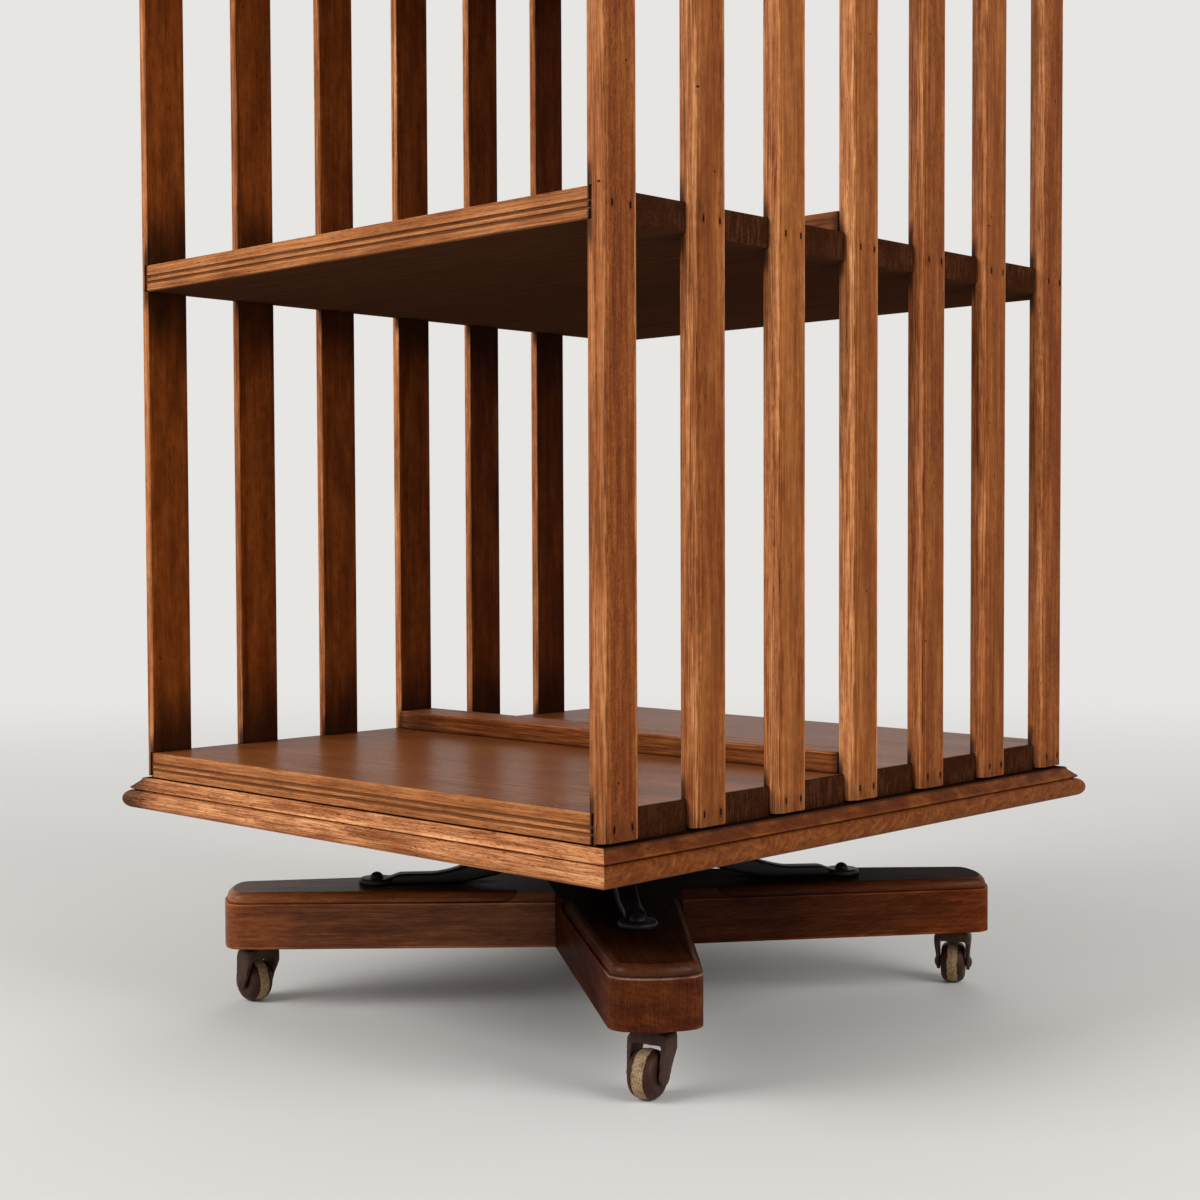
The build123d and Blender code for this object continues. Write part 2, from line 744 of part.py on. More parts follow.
with BuildPart() as horn_blank:
    lobe_top = wheel_radius + horn_lobe_radius
    with BuildSketch(Plane.YZ):
        with BuildLine():
            Polyline((horn_foot_width / 2, 0), (horn_foot_width / 2, lobe_top),
                     (horn_width / 2, bridge_bottom), (horn_width / 2, bridge_top),
                     (-horn_width / 2, bridge_top), (-horn_width / 2, bridge_bottom),
                     (-horn_foot_width / 2, lobe_top), (-horn_foot_width / 2, 0), close=True)
        make_face()
        fillet(vertices().group_by(Axis.Y)[-1], horn_corner_radius)
        with BuildSketch(mode=Mode.SUBTRACT):
            with Locations((0, bridge_bottom)):
                Rectangle(horn_inner_width, bridge_bottom, align=(Align.CENTER, Align.MAX))
            fillet(vertices().group_by(Axis.Y)[-1], horn_crotch_radius)
    extrude(amount=horn_width, both=True)
    with BuildSketch(Plane.XZ) as cheek_side:
        with Locations((0, bridge_bottom)):
            Rectangle(2 * horn_bridge_half_length, horn_bridge, align=(Align.CENTER, Align.MIN))
        with Locations((castor_trail, wheel_radius)):
            Circle(horn_lobe_radius)
        make_hull()
    extrude(amount=horn_width, both=True, mode=Mode.INTERSECT)
    horn_length = horn_bridge_half_length + castor_trail + horn_lobe_radius
    with BuildSketch(Plane.XY):
        with Locations((-horn_bridge_half_length, 0)):
            RectangleRounded(horn_length, horn_width, horn_plan_radius, align=(Align.MIN, Align.CENTER))
    extrude(amount=bridge_top, mode=Mode.INTERSECT)
    round_hole(pivot_radius + axle_wheel_clearance, bridge_bottom, bridge_top)
    with BuildSketch(Plane.XZ):
        with Locations((castor_trail, wheel_radius)):
            Circle(axle_radius + fixed_clearance)
    extrude(amount=horn_width, both=True, mode=Mode.SUBTRACT)

with BuildPart() as axle_blank:
    half_length = horn_foot_width / 2
    with BuildSketch(Plane.XY.offset(wheel_radius)):
        with BuildLine():
            dome = TangentArc((castor_trail, half_length + axle_head_height),
                              (castor_trail + axle_head_radius, half_length), tangent=(1, 0))
            Polyline(dome @ 1, (castor_trail + axle_radius, half_length),
                     (castor_trail + axle_radius, 0), (castor_trail, 0), dome @ 0)
        make_face()
        mirror(about=Plane.XZ)
    revolve(axis=axle_axis)

with BuildPart() as wheel_blank:
    bore_x = castor_trail + axle_radius + axle_wheel_clearance
    face_x = castor_trail + wheel_face_radius
    tread_x = castor_trail + wheel_radius
    face_y = wheel_width / 2
    with BuildSketch(Plane.XY.offset(wheel_radius)):
        with BuildLine():
            Polyline((tread_x, 0), (bore_x, 0), (bore_x, face_y), (face_x, face_y))
            ThreePointArc((face_x, face_y), (tread_x - wheel_shoulder_drop, face_y - wheel_shoulder_drop),
                          (tread_x - tread_crown, wheel_tread / 2))
            Line((tread_x - tread_crown, wheel_tread / 2), (tread_x, 0))
        make_face()
        mirror(about=Plane.XZ)
    revolve(axis=axle_axis)

turning_pieces = {"castor_horn": horn_blank, "castor_axle": axle_blank, "castor_wheel": wheel_blank}

for number, heading in enumerate(castor_headings):
    stem = Vector(castor_circle_radius, 0, 0).rotate(Axis.Z, rail_heading + 90 * number)
    with BuildPart() as castor_plate:
        with Locations(Location(stem)):
            add(plate_blank.part)
    keep(castor_plate.part, f"castor_plate_{number + 1}")
    for name, blank in turning_pieces.items():
        with BuildPart() as turned_piece:
            with Locations(Location(stem, (0, 0, heading))):
                add(blank.part)
        keep(turned_piece.part, f"{name}_{number + 1}")
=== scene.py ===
"""Revolving bookcase: the finish of its oak and iron, its castings and castors, floor, lights and camera.

Metres, +Z up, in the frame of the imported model: the floor is at 0 and the case turns about the Z axis.
Shader patterns are worked out in millimetres, because wood figure is.
"""
import json
import math

import bmesh
import bpy
from bpy.props import FloatProperty, FloatVectorProperty, IntProperty, PointerProperty
from mathutils import Matrix, Vector


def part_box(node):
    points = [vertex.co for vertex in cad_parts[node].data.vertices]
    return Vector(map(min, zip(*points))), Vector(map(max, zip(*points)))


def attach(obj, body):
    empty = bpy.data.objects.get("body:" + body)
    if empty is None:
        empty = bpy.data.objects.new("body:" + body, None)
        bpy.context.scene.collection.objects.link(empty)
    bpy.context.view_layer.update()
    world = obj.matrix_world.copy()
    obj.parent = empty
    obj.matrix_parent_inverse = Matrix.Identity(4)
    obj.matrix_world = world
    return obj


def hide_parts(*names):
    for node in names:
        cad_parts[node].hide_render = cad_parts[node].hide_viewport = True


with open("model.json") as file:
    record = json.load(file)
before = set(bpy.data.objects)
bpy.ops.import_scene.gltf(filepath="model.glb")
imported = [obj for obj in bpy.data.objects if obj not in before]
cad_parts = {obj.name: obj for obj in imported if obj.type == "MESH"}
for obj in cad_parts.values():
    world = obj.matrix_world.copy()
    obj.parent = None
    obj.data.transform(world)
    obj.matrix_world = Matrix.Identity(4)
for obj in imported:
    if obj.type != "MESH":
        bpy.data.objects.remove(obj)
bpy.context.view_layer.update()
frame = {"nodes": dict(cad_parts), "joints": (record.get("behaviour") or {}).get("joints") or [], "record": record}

bl_info = {
    "name": "Revolving Bookcase",
    "version": (1, 0, 0),
    "blender": (4, 5, 0),
    "location": "3D View > Sidebar > Bookcase",
    "description": "Oak, castings, castors and studio of a revolving bookcase",
    "category": "Object",
}

MILLIMETRE = 0.001
BOARDS = ("bottom_shelf", "middle_shelf", "head_board")
STOPS = ("lower_book_stop", "upper_book_stop")
MOULDED = ("plinth_board", "top_board")
SLATS = [name for name in frame["nodes"] if "_slat_" in name]

# Slats, in millimetres: corner bead, slope beside it, brads off the middle; and the middle slat's row
BEAD_RADIUS = 4.0
ARRIS_SLOPE = 1.3
BRAD_OFFSET = 6.85
MIDDLE_ROW = 3

# Boards, in millimetres: width of a plank, the two grooves of a reeded edge, where corner slats begin
PLANK_WIDTH = 115
REED_DROP = 0.8
REED_SPACING = 3.8
CORNER_SLAT = 200.4

# Moulded edge of plinth and top, in millimetres from its wide face
NOSE_HEIGHT = 12.0
QUIRK_HEIGHT = 0.9
BAND_HEIGHT = 1.3

# Rails: heading of each in degrees, and in millimetres the ovolo's height and where a rounded end begins
RAILS = {"cross_rail_upper": -41.0, "cross_rail_lower": 49.0}
OVOLO_HEIGHT = 7.2
RAIL_END = 243

# Castor wheels, in millimetres: half width of the worn tread, and where it starts from the hub
TREAD_HALF_WIDTH = 3.7
TREAD_RADIUS = 12.2

# Castings: in millimetres how near points are merged and how far round a castor's pivot nothing is
# smoothed, and the strength of a round of smoothing
MERGE_REACH = 0.005
PIVOT_REACH = 5.2
SMOOTHING = 0.5

# Screws: columns, rows, and the radii of head and shank in millimetres; sides of the round, and how
# thin the point ends as a share of the shank
SCREWS = {"plinth_screws": (2, 3, 5.0, 2.5), "head_screws": (2, 3, 5.0, 2.5),
          "lower_bearing_screws": (2, 2, 4.2, 2.2), "head_bearing_screws": (2, 2, 4.2, 2.2)}
SCREW_SIDES = 28
POINT_TAPER = 0.12

# Lights: place and width in metres; all face one point, and the studio settings hold their power
LIGHTS = {"key": ((-0.9, -2.3, 1.7), 1.6), "side": ((2.5, 0.2, 1.5), 1.6),
          "back": ((-1.6, 2.2, 1.8), 1.8)}
LIT_POINT = Vector((0, 0, 0.35))

# Floor: size in metres, and where its fading starts and ends, in millimetres from the middle
FLOOR_SIZE = 14
FLOOR_FADE = (500, 2600)

# Camera: width of its sensor in millimetres, and upward shift as a share of the picture
SENSOR_WIDTH = 36
SHIFT_UP = 0.0023

# A pale and a dark streak against the ground of the wood, as factors of red, green and blue
PALER = (1.42, 1.62, 1.90)
DARKER = (0.56, 0.47, 0.40)

# Colours that no setting holds
RUST = (0.040, 0.020, 0.012, 1)
DUST = (0.040, 0.036, 0.034, 1)
# Near-black painted shade for the corners of castor iron and wheels
IRON_CORNER_SHADE = (0.010, 0.007, 0.005, 1)
WHEEL_CORNER_SHADE = (0.008, 0.005, 0.004, 1)
STEEL = (0.17, 0.155, 0.14, 1)
BRASS = (0.42, 0.28, 0.11, 1)
# Painted highlight along the ledge at the ends of the upper rail
LEDGE_HIGHLIGHT = (0.36, 0.25, 0.17, 1)
FILL_COLOUR = (1.0, 0.985, 0.96, 1)


def size_mm(name):
    """Lowest and highest corner of a CAD node, in millimetres."""
    low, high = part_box(name)
    return low / MILLIMETRE, high / MILLIMETRE


# Shader building

class Channel:
    """A shader value that varies over the surface; arithmetic on it adds Math nodes."""

    def __init__(self, nodes, socket):
        self.nodes = nodes
        self.socket = socket

    def math(self, operation, *values):
        """Add a Math node."""
        inputs = dict(enumerate((self, *values)))
        return self.nodes.node("ShaderNodeMath", {"operation": operation}, inputs)

    def __add__(self, other):
        return self.math("ADD", other)

    def __sub__(self, other):
        return self.math("SUBTRACT", other)

    def __mul__(self, other):
        return self.math("MULTIPLY", other)

    def __truediv__(self, other):
        return self.math("DIVIDE", other)

    def __pow__(self, other):
        return self.math("POWER", other)

    def __rsub__(self, other):
        return self.nodes.node("ShaderNodeMath", {"operation": "SUBTRACT"}, {0: other, 1: self})

    def __neg__(self):
        return 0 - self

    def __abs__(self):
        return self.math("ABSOLUTE")

    __radd__ = __add__
    __rmul__ = __mul__

    def capped(self, limit):
        """The value, but no more than limit."""
        return self.math("MINIMUM", limit)

    def ramp(self, low, high):
        """Smooth step from 0 at low to 1 at high."""
        return self.nodes.node("ShaderNodeMapRange", {"interpolation_type": "SMOOTHSTEP"},
                               {"Value": self, "From Min": low, "From Max": high})


class Nodes:
    """The nodes of a material or of the world; one method adds any node."""

    def __init__(self, owner):
        self.owner = owner
        owner.use_nodes = True
        self.tree = owner.node_tree
        self.tree.nodes.clear()

    def node(self, kind, settings=None, values=None, output=0):
        """Add a node, set it, fill or link its sockets, and give back one output."""
        node = self.tree.nodes.new(kind)
        for key, value in (settings or {}).items():
            setattr(node, key, value)
        for key, value in (values or {}).items():
            if isinstance(value, Channel):
                self.tree.links.new(value.socket, node.inputs[key])
            else:
                node.inputs[key].default_value = value
        return Channel(self, node.outputs[output])

    def between(self, amount, first, second):
        """Mixture of two shaders."""
        return self.node("ShaderNodeMixShader", values={0: amount, 1: first, 2: second})

    def seen(self):
        """1 for what the camera, a reflection or a clear body looks at, 0 for what lights the scene."""
        rays = [self.node("ShaderNodeLightPath", output=f"Is {kind} Ray")
                for kind in ("Camera", "Glossy", "Transmission")]
        return (rays[0] + rays[1] + rays[2]).capped(1.0)

    def done(self, shader, output="ShaderNodeOutputMaterial"):
        """The material or world, with its shader in place."""
        end = self.tree.nodes.new(output)
        self.tree.links.new(shader.socket, end.inputs["Surface"])
        return self.owner


class Finish(Nodes):
    """A material in the making, with its Object coordinates in millimetres."""

    def __init__(self, name):
        super().__init__(bpy.data.materials.new(name))
        place = self.node("ShaderNodeTexCoord", output="Object")
        scaled = self.node("ShaderNodeVectorMath", {"operation": "SCALE"},
                           {0: place, "Scale": 1 / MILLIMETRE})
        self.x, self.y, self.z = (self.node("ShaderNodeSeparateXYZ", values={0: scaled}, output=axis)
                                  for axis in "XYZ")

    def noise(self, x, y, z, detail=2.0, roughness=0.5, seed=0.0):
        """Smooth noise from 0 to 1 with features one unit across."""
        place = self.node("ShaderNodeCombineXYZ", values={"X": x, "Y": y, "Z": z + seed})
        return self.node("ShaderNodeTexNoise", values={"Vector": place, "Scale": 1.0, "Detail": detail,
                                                       "Roughness": roughness})

    def speckle(self, width, detail=3.0, seed=0.0):
        """Noise with features of one width in every direction."""
        return self.noise(self.x / width, self.y / width, self.z / width, detail=detail, seed=seed)

    def random(self, number, seed):
        """A steady random value from 0 to 1 for each whole number."""
        return self.node("ShaderNodeTexWhiteNoise", {"noise_dimensions": "1D"}, {"W": number + seed})

    def mix(self, amount, low, high):
        """Colour between two colours."""
        return self.node("ShaderNodeMix", {"data_type": "RGBA"}, {0: amount, 6: low, 7: high}, output=2)

    def tinted(self, colour, factors):
        """Colour multiplied by factors of red, green and blue."""
        if not isinstance(colour, Channel):
            colour = colour[:3]
        return self.node("ShaderNodeVectorMath", {"operation": "MULTIPLY"}, {0: colour, 1: factors})

    def tint(self, amount, colour, factors):
        """Colour drawn towards its tinted self."""
        return self.mix(amount, colour, self.tinted(colour, factors))

    def varied(self, amount, colour, dark, pale):
        """Colour that wanders between a dark and a pale tint of itself."""
        return self.mix(amount, self.tinted(colour, dark), self.tinted(colour, pale))

    def line(self, distance, half_width):
        """1 on a line, falling to 0 at half_width from it."""
        return abs(distance).ramp(half_width, 0.3 * half_width)

    def crevice(self, reach):
        """1 in open surfaces, falling towards 0 in corners nearer than reach."""
        return self.node("ShaderNodeAmbientOcclusion", {"samples": 6},
                         {"Distance": reach * MILLIMETRE}, output="AO")

    def shader(self, colour, roughness, height=None, relief=0.1, **sockets):
        """Principled shader with bump; relief is the bump's depth in millimetres."""
        values = {"Base Color": colour, "Roughness": roughness}
        if height is not None:
            values["Normal"] = self.node("ShaderNodeBump", values={"Strength": 1.0, "Height": height,
                                                                    "Distance": relief * MILLIMETRE})
        for key, value in sockets.items():
            values[key.replace("_", " ")] = value
        return self.node("ShaderNodeBsdfPrincipled", values=values)


def rgba(colour):
    """Four-part colour of a colour property."""
    return (*colour, 1.0)


class Figure:
    """Growth rings, streaks and pores of solid oak grown about a pith line, each from 0 to 1."""

    def __init__(self, finish, along, across, depth, pith_across, pith_depth):
        ring_width = bpy.context.scene.bookcase_oak.ring_width / MILLIMETRE
        sway = finish.noise(along / 170, across / 45, depth / 45, seed=3.1) - 0.5
        side = across - pith_across + 7 * sway
        rise = depth - pith_depth
        radius = (side * side + rise * rise) ** 0.5
        run = side.math("ARCTAN2", rise) * radius
        ring = (radius / ring_width + 0.6 * sway).math("FRACT")
        early = ring.ramp(0.55, 0.0) + ring.ramp(0.94, 1.0)
        fine = finish.noise(along / 34, radius / 0.62, run / 0.75, detail=3.0, roughness=0.55)
        broad = finish.noise(along / 95, radius / 2.6, run / 2.8, seed=41.0)
        pore = finish.noise(along / 5, radius / 0.42, run / 0.5, detail=1.0, seed=5.0)
        self.early = early
        self.streak = (0.62 * fine + 0.38 * broad).ramp(0.36, 0.63)
        self.pore = pore.ramp(0.56, 0.70) * (0.3 + 0.7 * early)


# What a user may change

def colour_setting(name, description, default):
    """Colour property of red, green and blue from 0 to 1."""
    return FloatVectorProperty(name=name, description=description, default=default, subtype="COLOR",
                               size=3, min=0, max=1)


class OakTones(bpy.types.PropertyGroup):
    """Colours of the oak."""

    face: colour_setting("Slat face", "Flat outer faces of the slats", (0.252, 0.074, 0.0150))
    faded: colour_setting("Slat sides", "Sun-faded beads and sides of the slats", (0.425, 0.147, 0.045))
    inner: colour_setting("Slat backs", "Slat faces turned to the books", (0.262, 0.061, 0.0090))
    edge: colour_setting("Board edges", "Reeded open edges of the shelves", (0.376, 0.125, 0.034))
    bleached: colour_setting("Plinth edge", "Bleached open edges of plinth and top", (0.565, 0.215, 0.074))
    golden: colour_setting("Plinth ends", "End grain of plinth and top", (0.186, 0.048, 0.0075))
    board: colour_setting("Board tops", "Waxed tops of the boards", (0.228, 0.064, 0.0135))
    end: colour_setting("Board ends", "Dark end grain between the slats", (0.045, 0.0145, 0.0058))
    # Dull unpolished oak of the undersides, darkened further as painted shade
    shaded_underside: colour_setting("Underside", "Unpolished undersides", (0.064, 0.025, 0.011))
    stop: colour_setting("Book stops", "Battens across the shelves", (0.215, 0.060, 0.012))
    # On the lower rail the hazy colour below stands for painted light on one half, and the cross colour for
    # painted shade on the other
    cross: colour_setting("Cross", "Polished oak of the cross", (0.036, 0.0078, 0.0020))
    scuffed_and_lit: colour_setting("Scuffed cross", "Hazy, worn parts of the cross", (0.158, 0.046, 0.014))
    # The pore colour is also the colour of painted shade in corners, gaps and grooves
    pore: colour_setting("Pores", "Dirt in the pores and corners", (0.016, 0.0055, 0.0025))
    ring_width: FloatProperty(name="Ring width", description="Width of a growth ring", unit="LENGTH",
                              min=0.0005, max=0.01, default=0.0031)


class IronTones(bpy.types.PropertyGroup):
    """Colours of the ironwork and the castor wheels."""

    japan: colour_setting("Black japan", "Paint of the spider and bearings", (0.010, 0.009, 0.009))
    horn: colour_setting("Castor iron", "Bare worn iron of the castors", (0.036, 0.017, 0.011))
    wheel: colour_setting("Wheel", "Sides of the castor wheels", (0.040, 0.0125, 0.007))
    tread: colour_setting("Tread", "Worn running band of the wheels", (0.42, 0.29, 0.17))


class Castings(bpy.types.PropertyGroup):
    """How the castings are rebuilt with soft edges."""

    spider_grid: FloatProperty(name="Spider grid", description="Mesh size of the spider's skin",
                               unit="LENGTH", min=0.0003, max=0.005, default=0.0009)
    castor_grid: FloatProperty(name="Castor grid", description="Mesh size of the castors' skins",
                               unit="LENGTH", min=0.0002, max=0.005, default=0.00045)
    rounds: IntProperty(name="Rounds", description="How often a skin is smoothed", min=0, max=50, default=9)


class StudioSettings(bpy.types.PropertyGroup):
    """Camera, lights and floor."""

    camera_place: FloatVectorProperty(name="Camera place", description="Where the camera stands", size=3,
                                      subtype="TRANSLATION", unit="LENGTH",
                                      default=(0.8709, -0.9202, 0.3107))
    camera_heading: FloatProperty(name="Heading", description="Turn of the view from +Y towards -X",
                                  subtype="ANGLE", default=math.radians(43.75))
    camera_pitch: FloatProperty(name="Pitch", description="Tilt of the view above level",
                                subtype="ANGLE", default=math.radians(-2.08))
    camera_roll: FloatProperty(name="Roll", description="Turn of the picture", subtype="ANGLE",
                               default=math.radians(-0.22))
    lens: FloatProperty(name="Lens", description="Focal length on a 36 mm square sensor", unit="CAMERA",
                        min=1, max=500, default=56.47)
    floor_tone: colour_setting("Floor", "Pale floor", (0.78, 0.77, 0.75))
    backdrop_tone: colour_setting("Backdrop", "Pale backdrop that the floor fades into", (0.80, 0.79, 0.77))
    fill: FloatProperty(name="Fill", description="Strength of the even light from all round",
                        min=0, max=2, default=0.36)
    key_power: FloatProperty(name="Key light", description="Window light on the open face", unit="POWER",
                             min=0, max=1000, default=54.0)
    side_power: FloatProperty(name="Side light", description="Softer light on the slatted face",
                              unit="POWER", min=0, max=1000, default=42.0)
    back_power: FloatProperty(name="Back light", description="Fill behind the case", unit="POWER",
                              min=0, max=1000, default=14.0)


# Oak

def oak_surface(finish, tone, figure, contrast=0.6, grime_and_shade=0.0, relief=0.04, polish=0.42, coat=0.10,
                dull=0.5, corners=0.85):
    """Oak from tone, figure, soiling and painted shade; dull is how much wax is worn off, corners how dark the
    painted shade in corners is.
    """
    oak = bpy.context.scene.bookcase_oak
    streak = 0.5 + contrast * (figure.streak - 0.5)
    tone = finish.varied(streak, tone, DARKER, PALER)
    tone = finish.tint(0.5 * contrast * figure.early, tone, (0.74, 0.64, 0.56))
    tone = finish.mix(0.62 * figure.pore, tone, rgba(oak.pore))
    # Painted shade in corners, from ambient occlusion, drawn towards the pore colour
    corner = finish.crevice(7).ramp(0.72, 0.25)
    dirt_and_shade = (corners * corner + grime_and_shade).capped(0.96)
    tone = finish.mix(dirt_and_shade, tone, rgba(oak.pore))
    roughness = polish + 0.16 * figure.pore + 0.10 * (1 - figure.streak) + 0.25 * dirt_and_shade
    height = 0.6 * figure.streak - figure.pore - 0.3 * figure.early
    waxed = finish.shader(tone, roughness, height, relief, Coat_Weight=coat * (1 - dirt_and_shade),
                          Coat_Roughness=0.26, Specular_IOR_Level=0.16)
    raw = finish.shader(tone, 0.9, height, relief, Specular_IOR_Level=0.0)
    return finish.done(finish.between(dull, waxed, raw))


class BOOKCASE_OT_finish_slats(bpy.types.Operator):
    """Give the slats their oak: golden faces, faded sides, dark backs, and soot, soil and painted shade at the
    boards
    """

    bl_idname = "bookcase.finish_slats"
    bl_label = "Finish slats"

    def execute(self, context):
        material = slat_material(context.scene.bookcase_oak)
        for name in SLATS:
            paint(name, material)
        return {"FINISHED"}


def slat_material(oak):
    """Oak that differs from slat to slat; corner slats are quarter-sawn and flecked on their faces."""
    finish = Finish("slat_oak")
    low, high = size_mm("right_slat_1")
    pitch = size_mm("right_slat_2")[0].y - low.y
    half_width = (high.y - low.y) / 2
    thickness = high.x - low.x
    place = (finish.y - (low.y + high.y) / 2) / pitch + 0.5
    row = place.math("FLOOR")
    number = row + 20 * finish.x.math("SIGN")
    across = (place.math("FRACT") - 0.5) * pitch
    depth = abs(finish.x) - low.x
    off = abs(across)
    along = finish.z + 900 * finish.random(number, 1.7)
    pith_across = 70 * (finish.random(number, 0.37) - 0.5)
    pith_depth = -50 - 110 * finish.random(number, 5.2)
    figure = Figure(finish, along, across, depth, pith_across, pith_depth)
    patch = finish.noise(finish.z / 45, across / 10, number * 3.3 + depth / 10, detail=4.0)
    ragged = finish.noise(finish.z / 16, number * 7.1, across / 40, detail=3.0)
    band = finish.noise(along / 120, across / 9, depth / 9, seed=77.0).ramp(0.32, 0.68)
    fleck = finish.noise(along / 1.3, across / 0.7, depth / 0.7, detail=3.0, seed=17.0)
    board_gap = nearest_board(finish)

    # Golden faces, sun-faded beads and sides, dark backs with painted shade
    face_edge = half_width - BEAD_RADIUS - ARRIS_SLOPE
    face = (thickness - depth).ramp(0.3, 0.05)
    bead = off.ramp(face_edge + 0.5, face_edge + 1.6)
    back = depth.ramp(0.45, 0.1)
    slat_shade = finish.random(number, 2.9)
    golden = (0.6 * band + 0.4 * patch + 0.35 * (slat_shade - 0.5)).ramp(0.25, 0.75)
    tone = finish.varied(golden, oak.face, (0.84, 0.74, 0.68), (1.22, 1.30, 1.36))
    faded = finish.varied(golden, oak.faded, (0.85, 0.78, 0.72), (1.18, 1.24, 1.30))
    tone = finish.mix(bead, tone, faded)
    back_tone_and_shade = finish.varied(patch.ramp(0.3, 0.7), oak.inner, (0.72, 0.68, 0.66), (1.2, 1.22, 1.25))
    # Painted shade on the slat backs, deepening towards +Y
    back_tone_and_shade = finish.tint(finish.y.ramp(-190, 170), back_tone_and_shade, (0.34, 0.30, 0.30))
    tone = finish.mix(back, tone, back_tone_and_shade)

    # The middle slat is bleached and carries a painted highlight, most on its beads; the corner slats are flecked
    from_middle = abs(row - MIDDLE_ROW)
    bleached_and_lit_slat = from_middle.ramp(0.5, 0.2) * (1 - back)
    tone = finish.tint(bleached_and_lit_slat * (0.3 + 0.7 * bead), tone, (1.45, 1.65, 1.85))
    corner_slat = from_middle.ramp(2.4, 2.6)
    flecked = corner_slat * face
    tone = finish.tint(0.65 * flecked, tone, (0.92, 0.80, 0.72))
    tone = finish.tint(0.60 * flecked * fleck.ramp(0.42, 0.62), tone, (0.60, 0.50, 0.44))

    # Rubbed arrises beside the beads, paled by wear and by a painted highlight, and a dirty broken line in the
    # quirks that part them
    arris = finish.line(off - face_edge, 0.75) * depth.ramp(thickness - 0.8, thickness - 0.3)
    tone = finish.tint(arris * ragged.ramp(0.30, 0.55), tone, (1.50, 1.62, 1.75))
    broken = finish.noise(finish.z / 22, number * 5.7, across / 40, detail=3.0, seed=3.0)
    crack = finish.line(off - (face_edge + ARRIS_SLOPE + 0.3), 0.55) * depth.ramp(6.5, 8.0)
    crack = crack * broken.ramp(0.42, 0.60)

    # Smudges round the brads and a wormhole here and there
    smudge_across = (off - BRAD_OFFSET) / 1.5
    smudge_along = board_gap / 4.2
    smudge = (smudge_across * smudge_across + smudge_along * smudge_along) ** 0.5
    smudge = (smudge + 0.9 * (ragged - 0.5)).ramp(1.15, 0.35) * face
    scattered = finish.node("ShaderNodeCombineXYZ",
                            values={"X": finish.z / 85, "Y": across / 85 + 13.7 * number})
    wormhole = finish.node("ShaderNodeTexVoronoi", {"voronoi_dimensions": "2D", "feature": "F1"},
                           {"Vector": scattered, "Scale": 1.0}, output="Distance").ramp(0.010, 0.006)

    # Soot where a slat meets a board, painted shade down its back towards each board, a soiled foot, and blotches
    # of darker and paler oak
    soot = (board_gap + 12 * (patch - 0.5) + 7 * (ragged - 0.5)).ramp(27, 12)
    against_board = (depth + 2.5 * (ragged - 0.5)).ramp(6.2, 2.2)
    against_board = against_board * off.ramp(half_width - 1.6, half_width - 0.6)
    shaded = (board_gap + 18 * (patch - 0.5)).ramp(72, 14)
    soot_and_shade = 0.85 * soot * against_board + 0.84 * shaded * back
    foot = (finish.z - low.z + 9 * (patch - 0.5)).ramp(15, 2) * (1 - back)
    grime_and_shade = (0.75 * crack + 0.45 * smudge + 0.9 * wormhole + soot_and_shade + 0.25 * foot).capped(0.92)
    blotch = finish.noise(finish.z / 9, across / 5, number * 9.1 + depth / 5, detail=4.0, roughness=0.6)
    tone = finish.tint(0.50 * blotch.ramp(0.60, 0.38), tone, (0.76, 0.66, 0.58))
    tone = finish.tint(0.45 * blotch.ramp(0.52, 0.70), tone, (1.20, 1.28, 1.36))
    contrast = 0.48 + 0.58 * bead * (1 - 0.4 * corner_slat) - 0.16 * back
    return oak_surface(finish, tone, figure, contrast, grime_and_shade, coat=0.05 * (1 - back),
                       dull=0.55 + 0.3 * back)


def nearest_board(finish):
    """Height above or below the middle of the nearest board, in millimetres."""
    gaps = []
    for board in BOARDS:
        low, high = size_mm(board)
        gaps.append(abs(finish.z - (low.z + high.z) / 2))
    return gaps[0].math("MINIMUM", gaps[1]).math("MINIMUM", gaps[2])


class BOOKCASE_OT_finish_boards(bpy.types.Operator):
    """Give boards and stops oak with waxed tops, worn open edges and dark ends"""

    bl_idname = "bookcase.finish_boards"
    bl_label = "Finish boards and stops"

    def execute(self, context):
        oak = context.scene.bookcase_oak
        for name in BOARDS:
            paint(name, shelf_material(oak, name))
        for name in MOULDED:
            paint(name, moulded_material(oak, name))
        for name in STOPS:
            paint(name, stop_material(oak, name))
        return {"FINISHED"}


def plank_figure(finish, seed, depth):
    """Figure of a board glued up from planks, with its grain along X."""
    plank = (finish.y / PLANK_WIDTH + 0.13).math("FLOOR")
    pith_across = 57 + PLANK_WIDTH * plank + 60 * (finish.random(plank, seed) - 0.5)
    pith_depth = -55 - 70 * finish.random(plank, seed + 1.5)
    along = finish.x + seed * 7 + 500 * finish.random(plank, seed + 4)
    return Figure(finish, along, finish.y, depth, pith_across, pith_depth)


def board_seed(low):
    """A number of its own for each board's noise, from the height of its underside."""
    return 300 + low.z


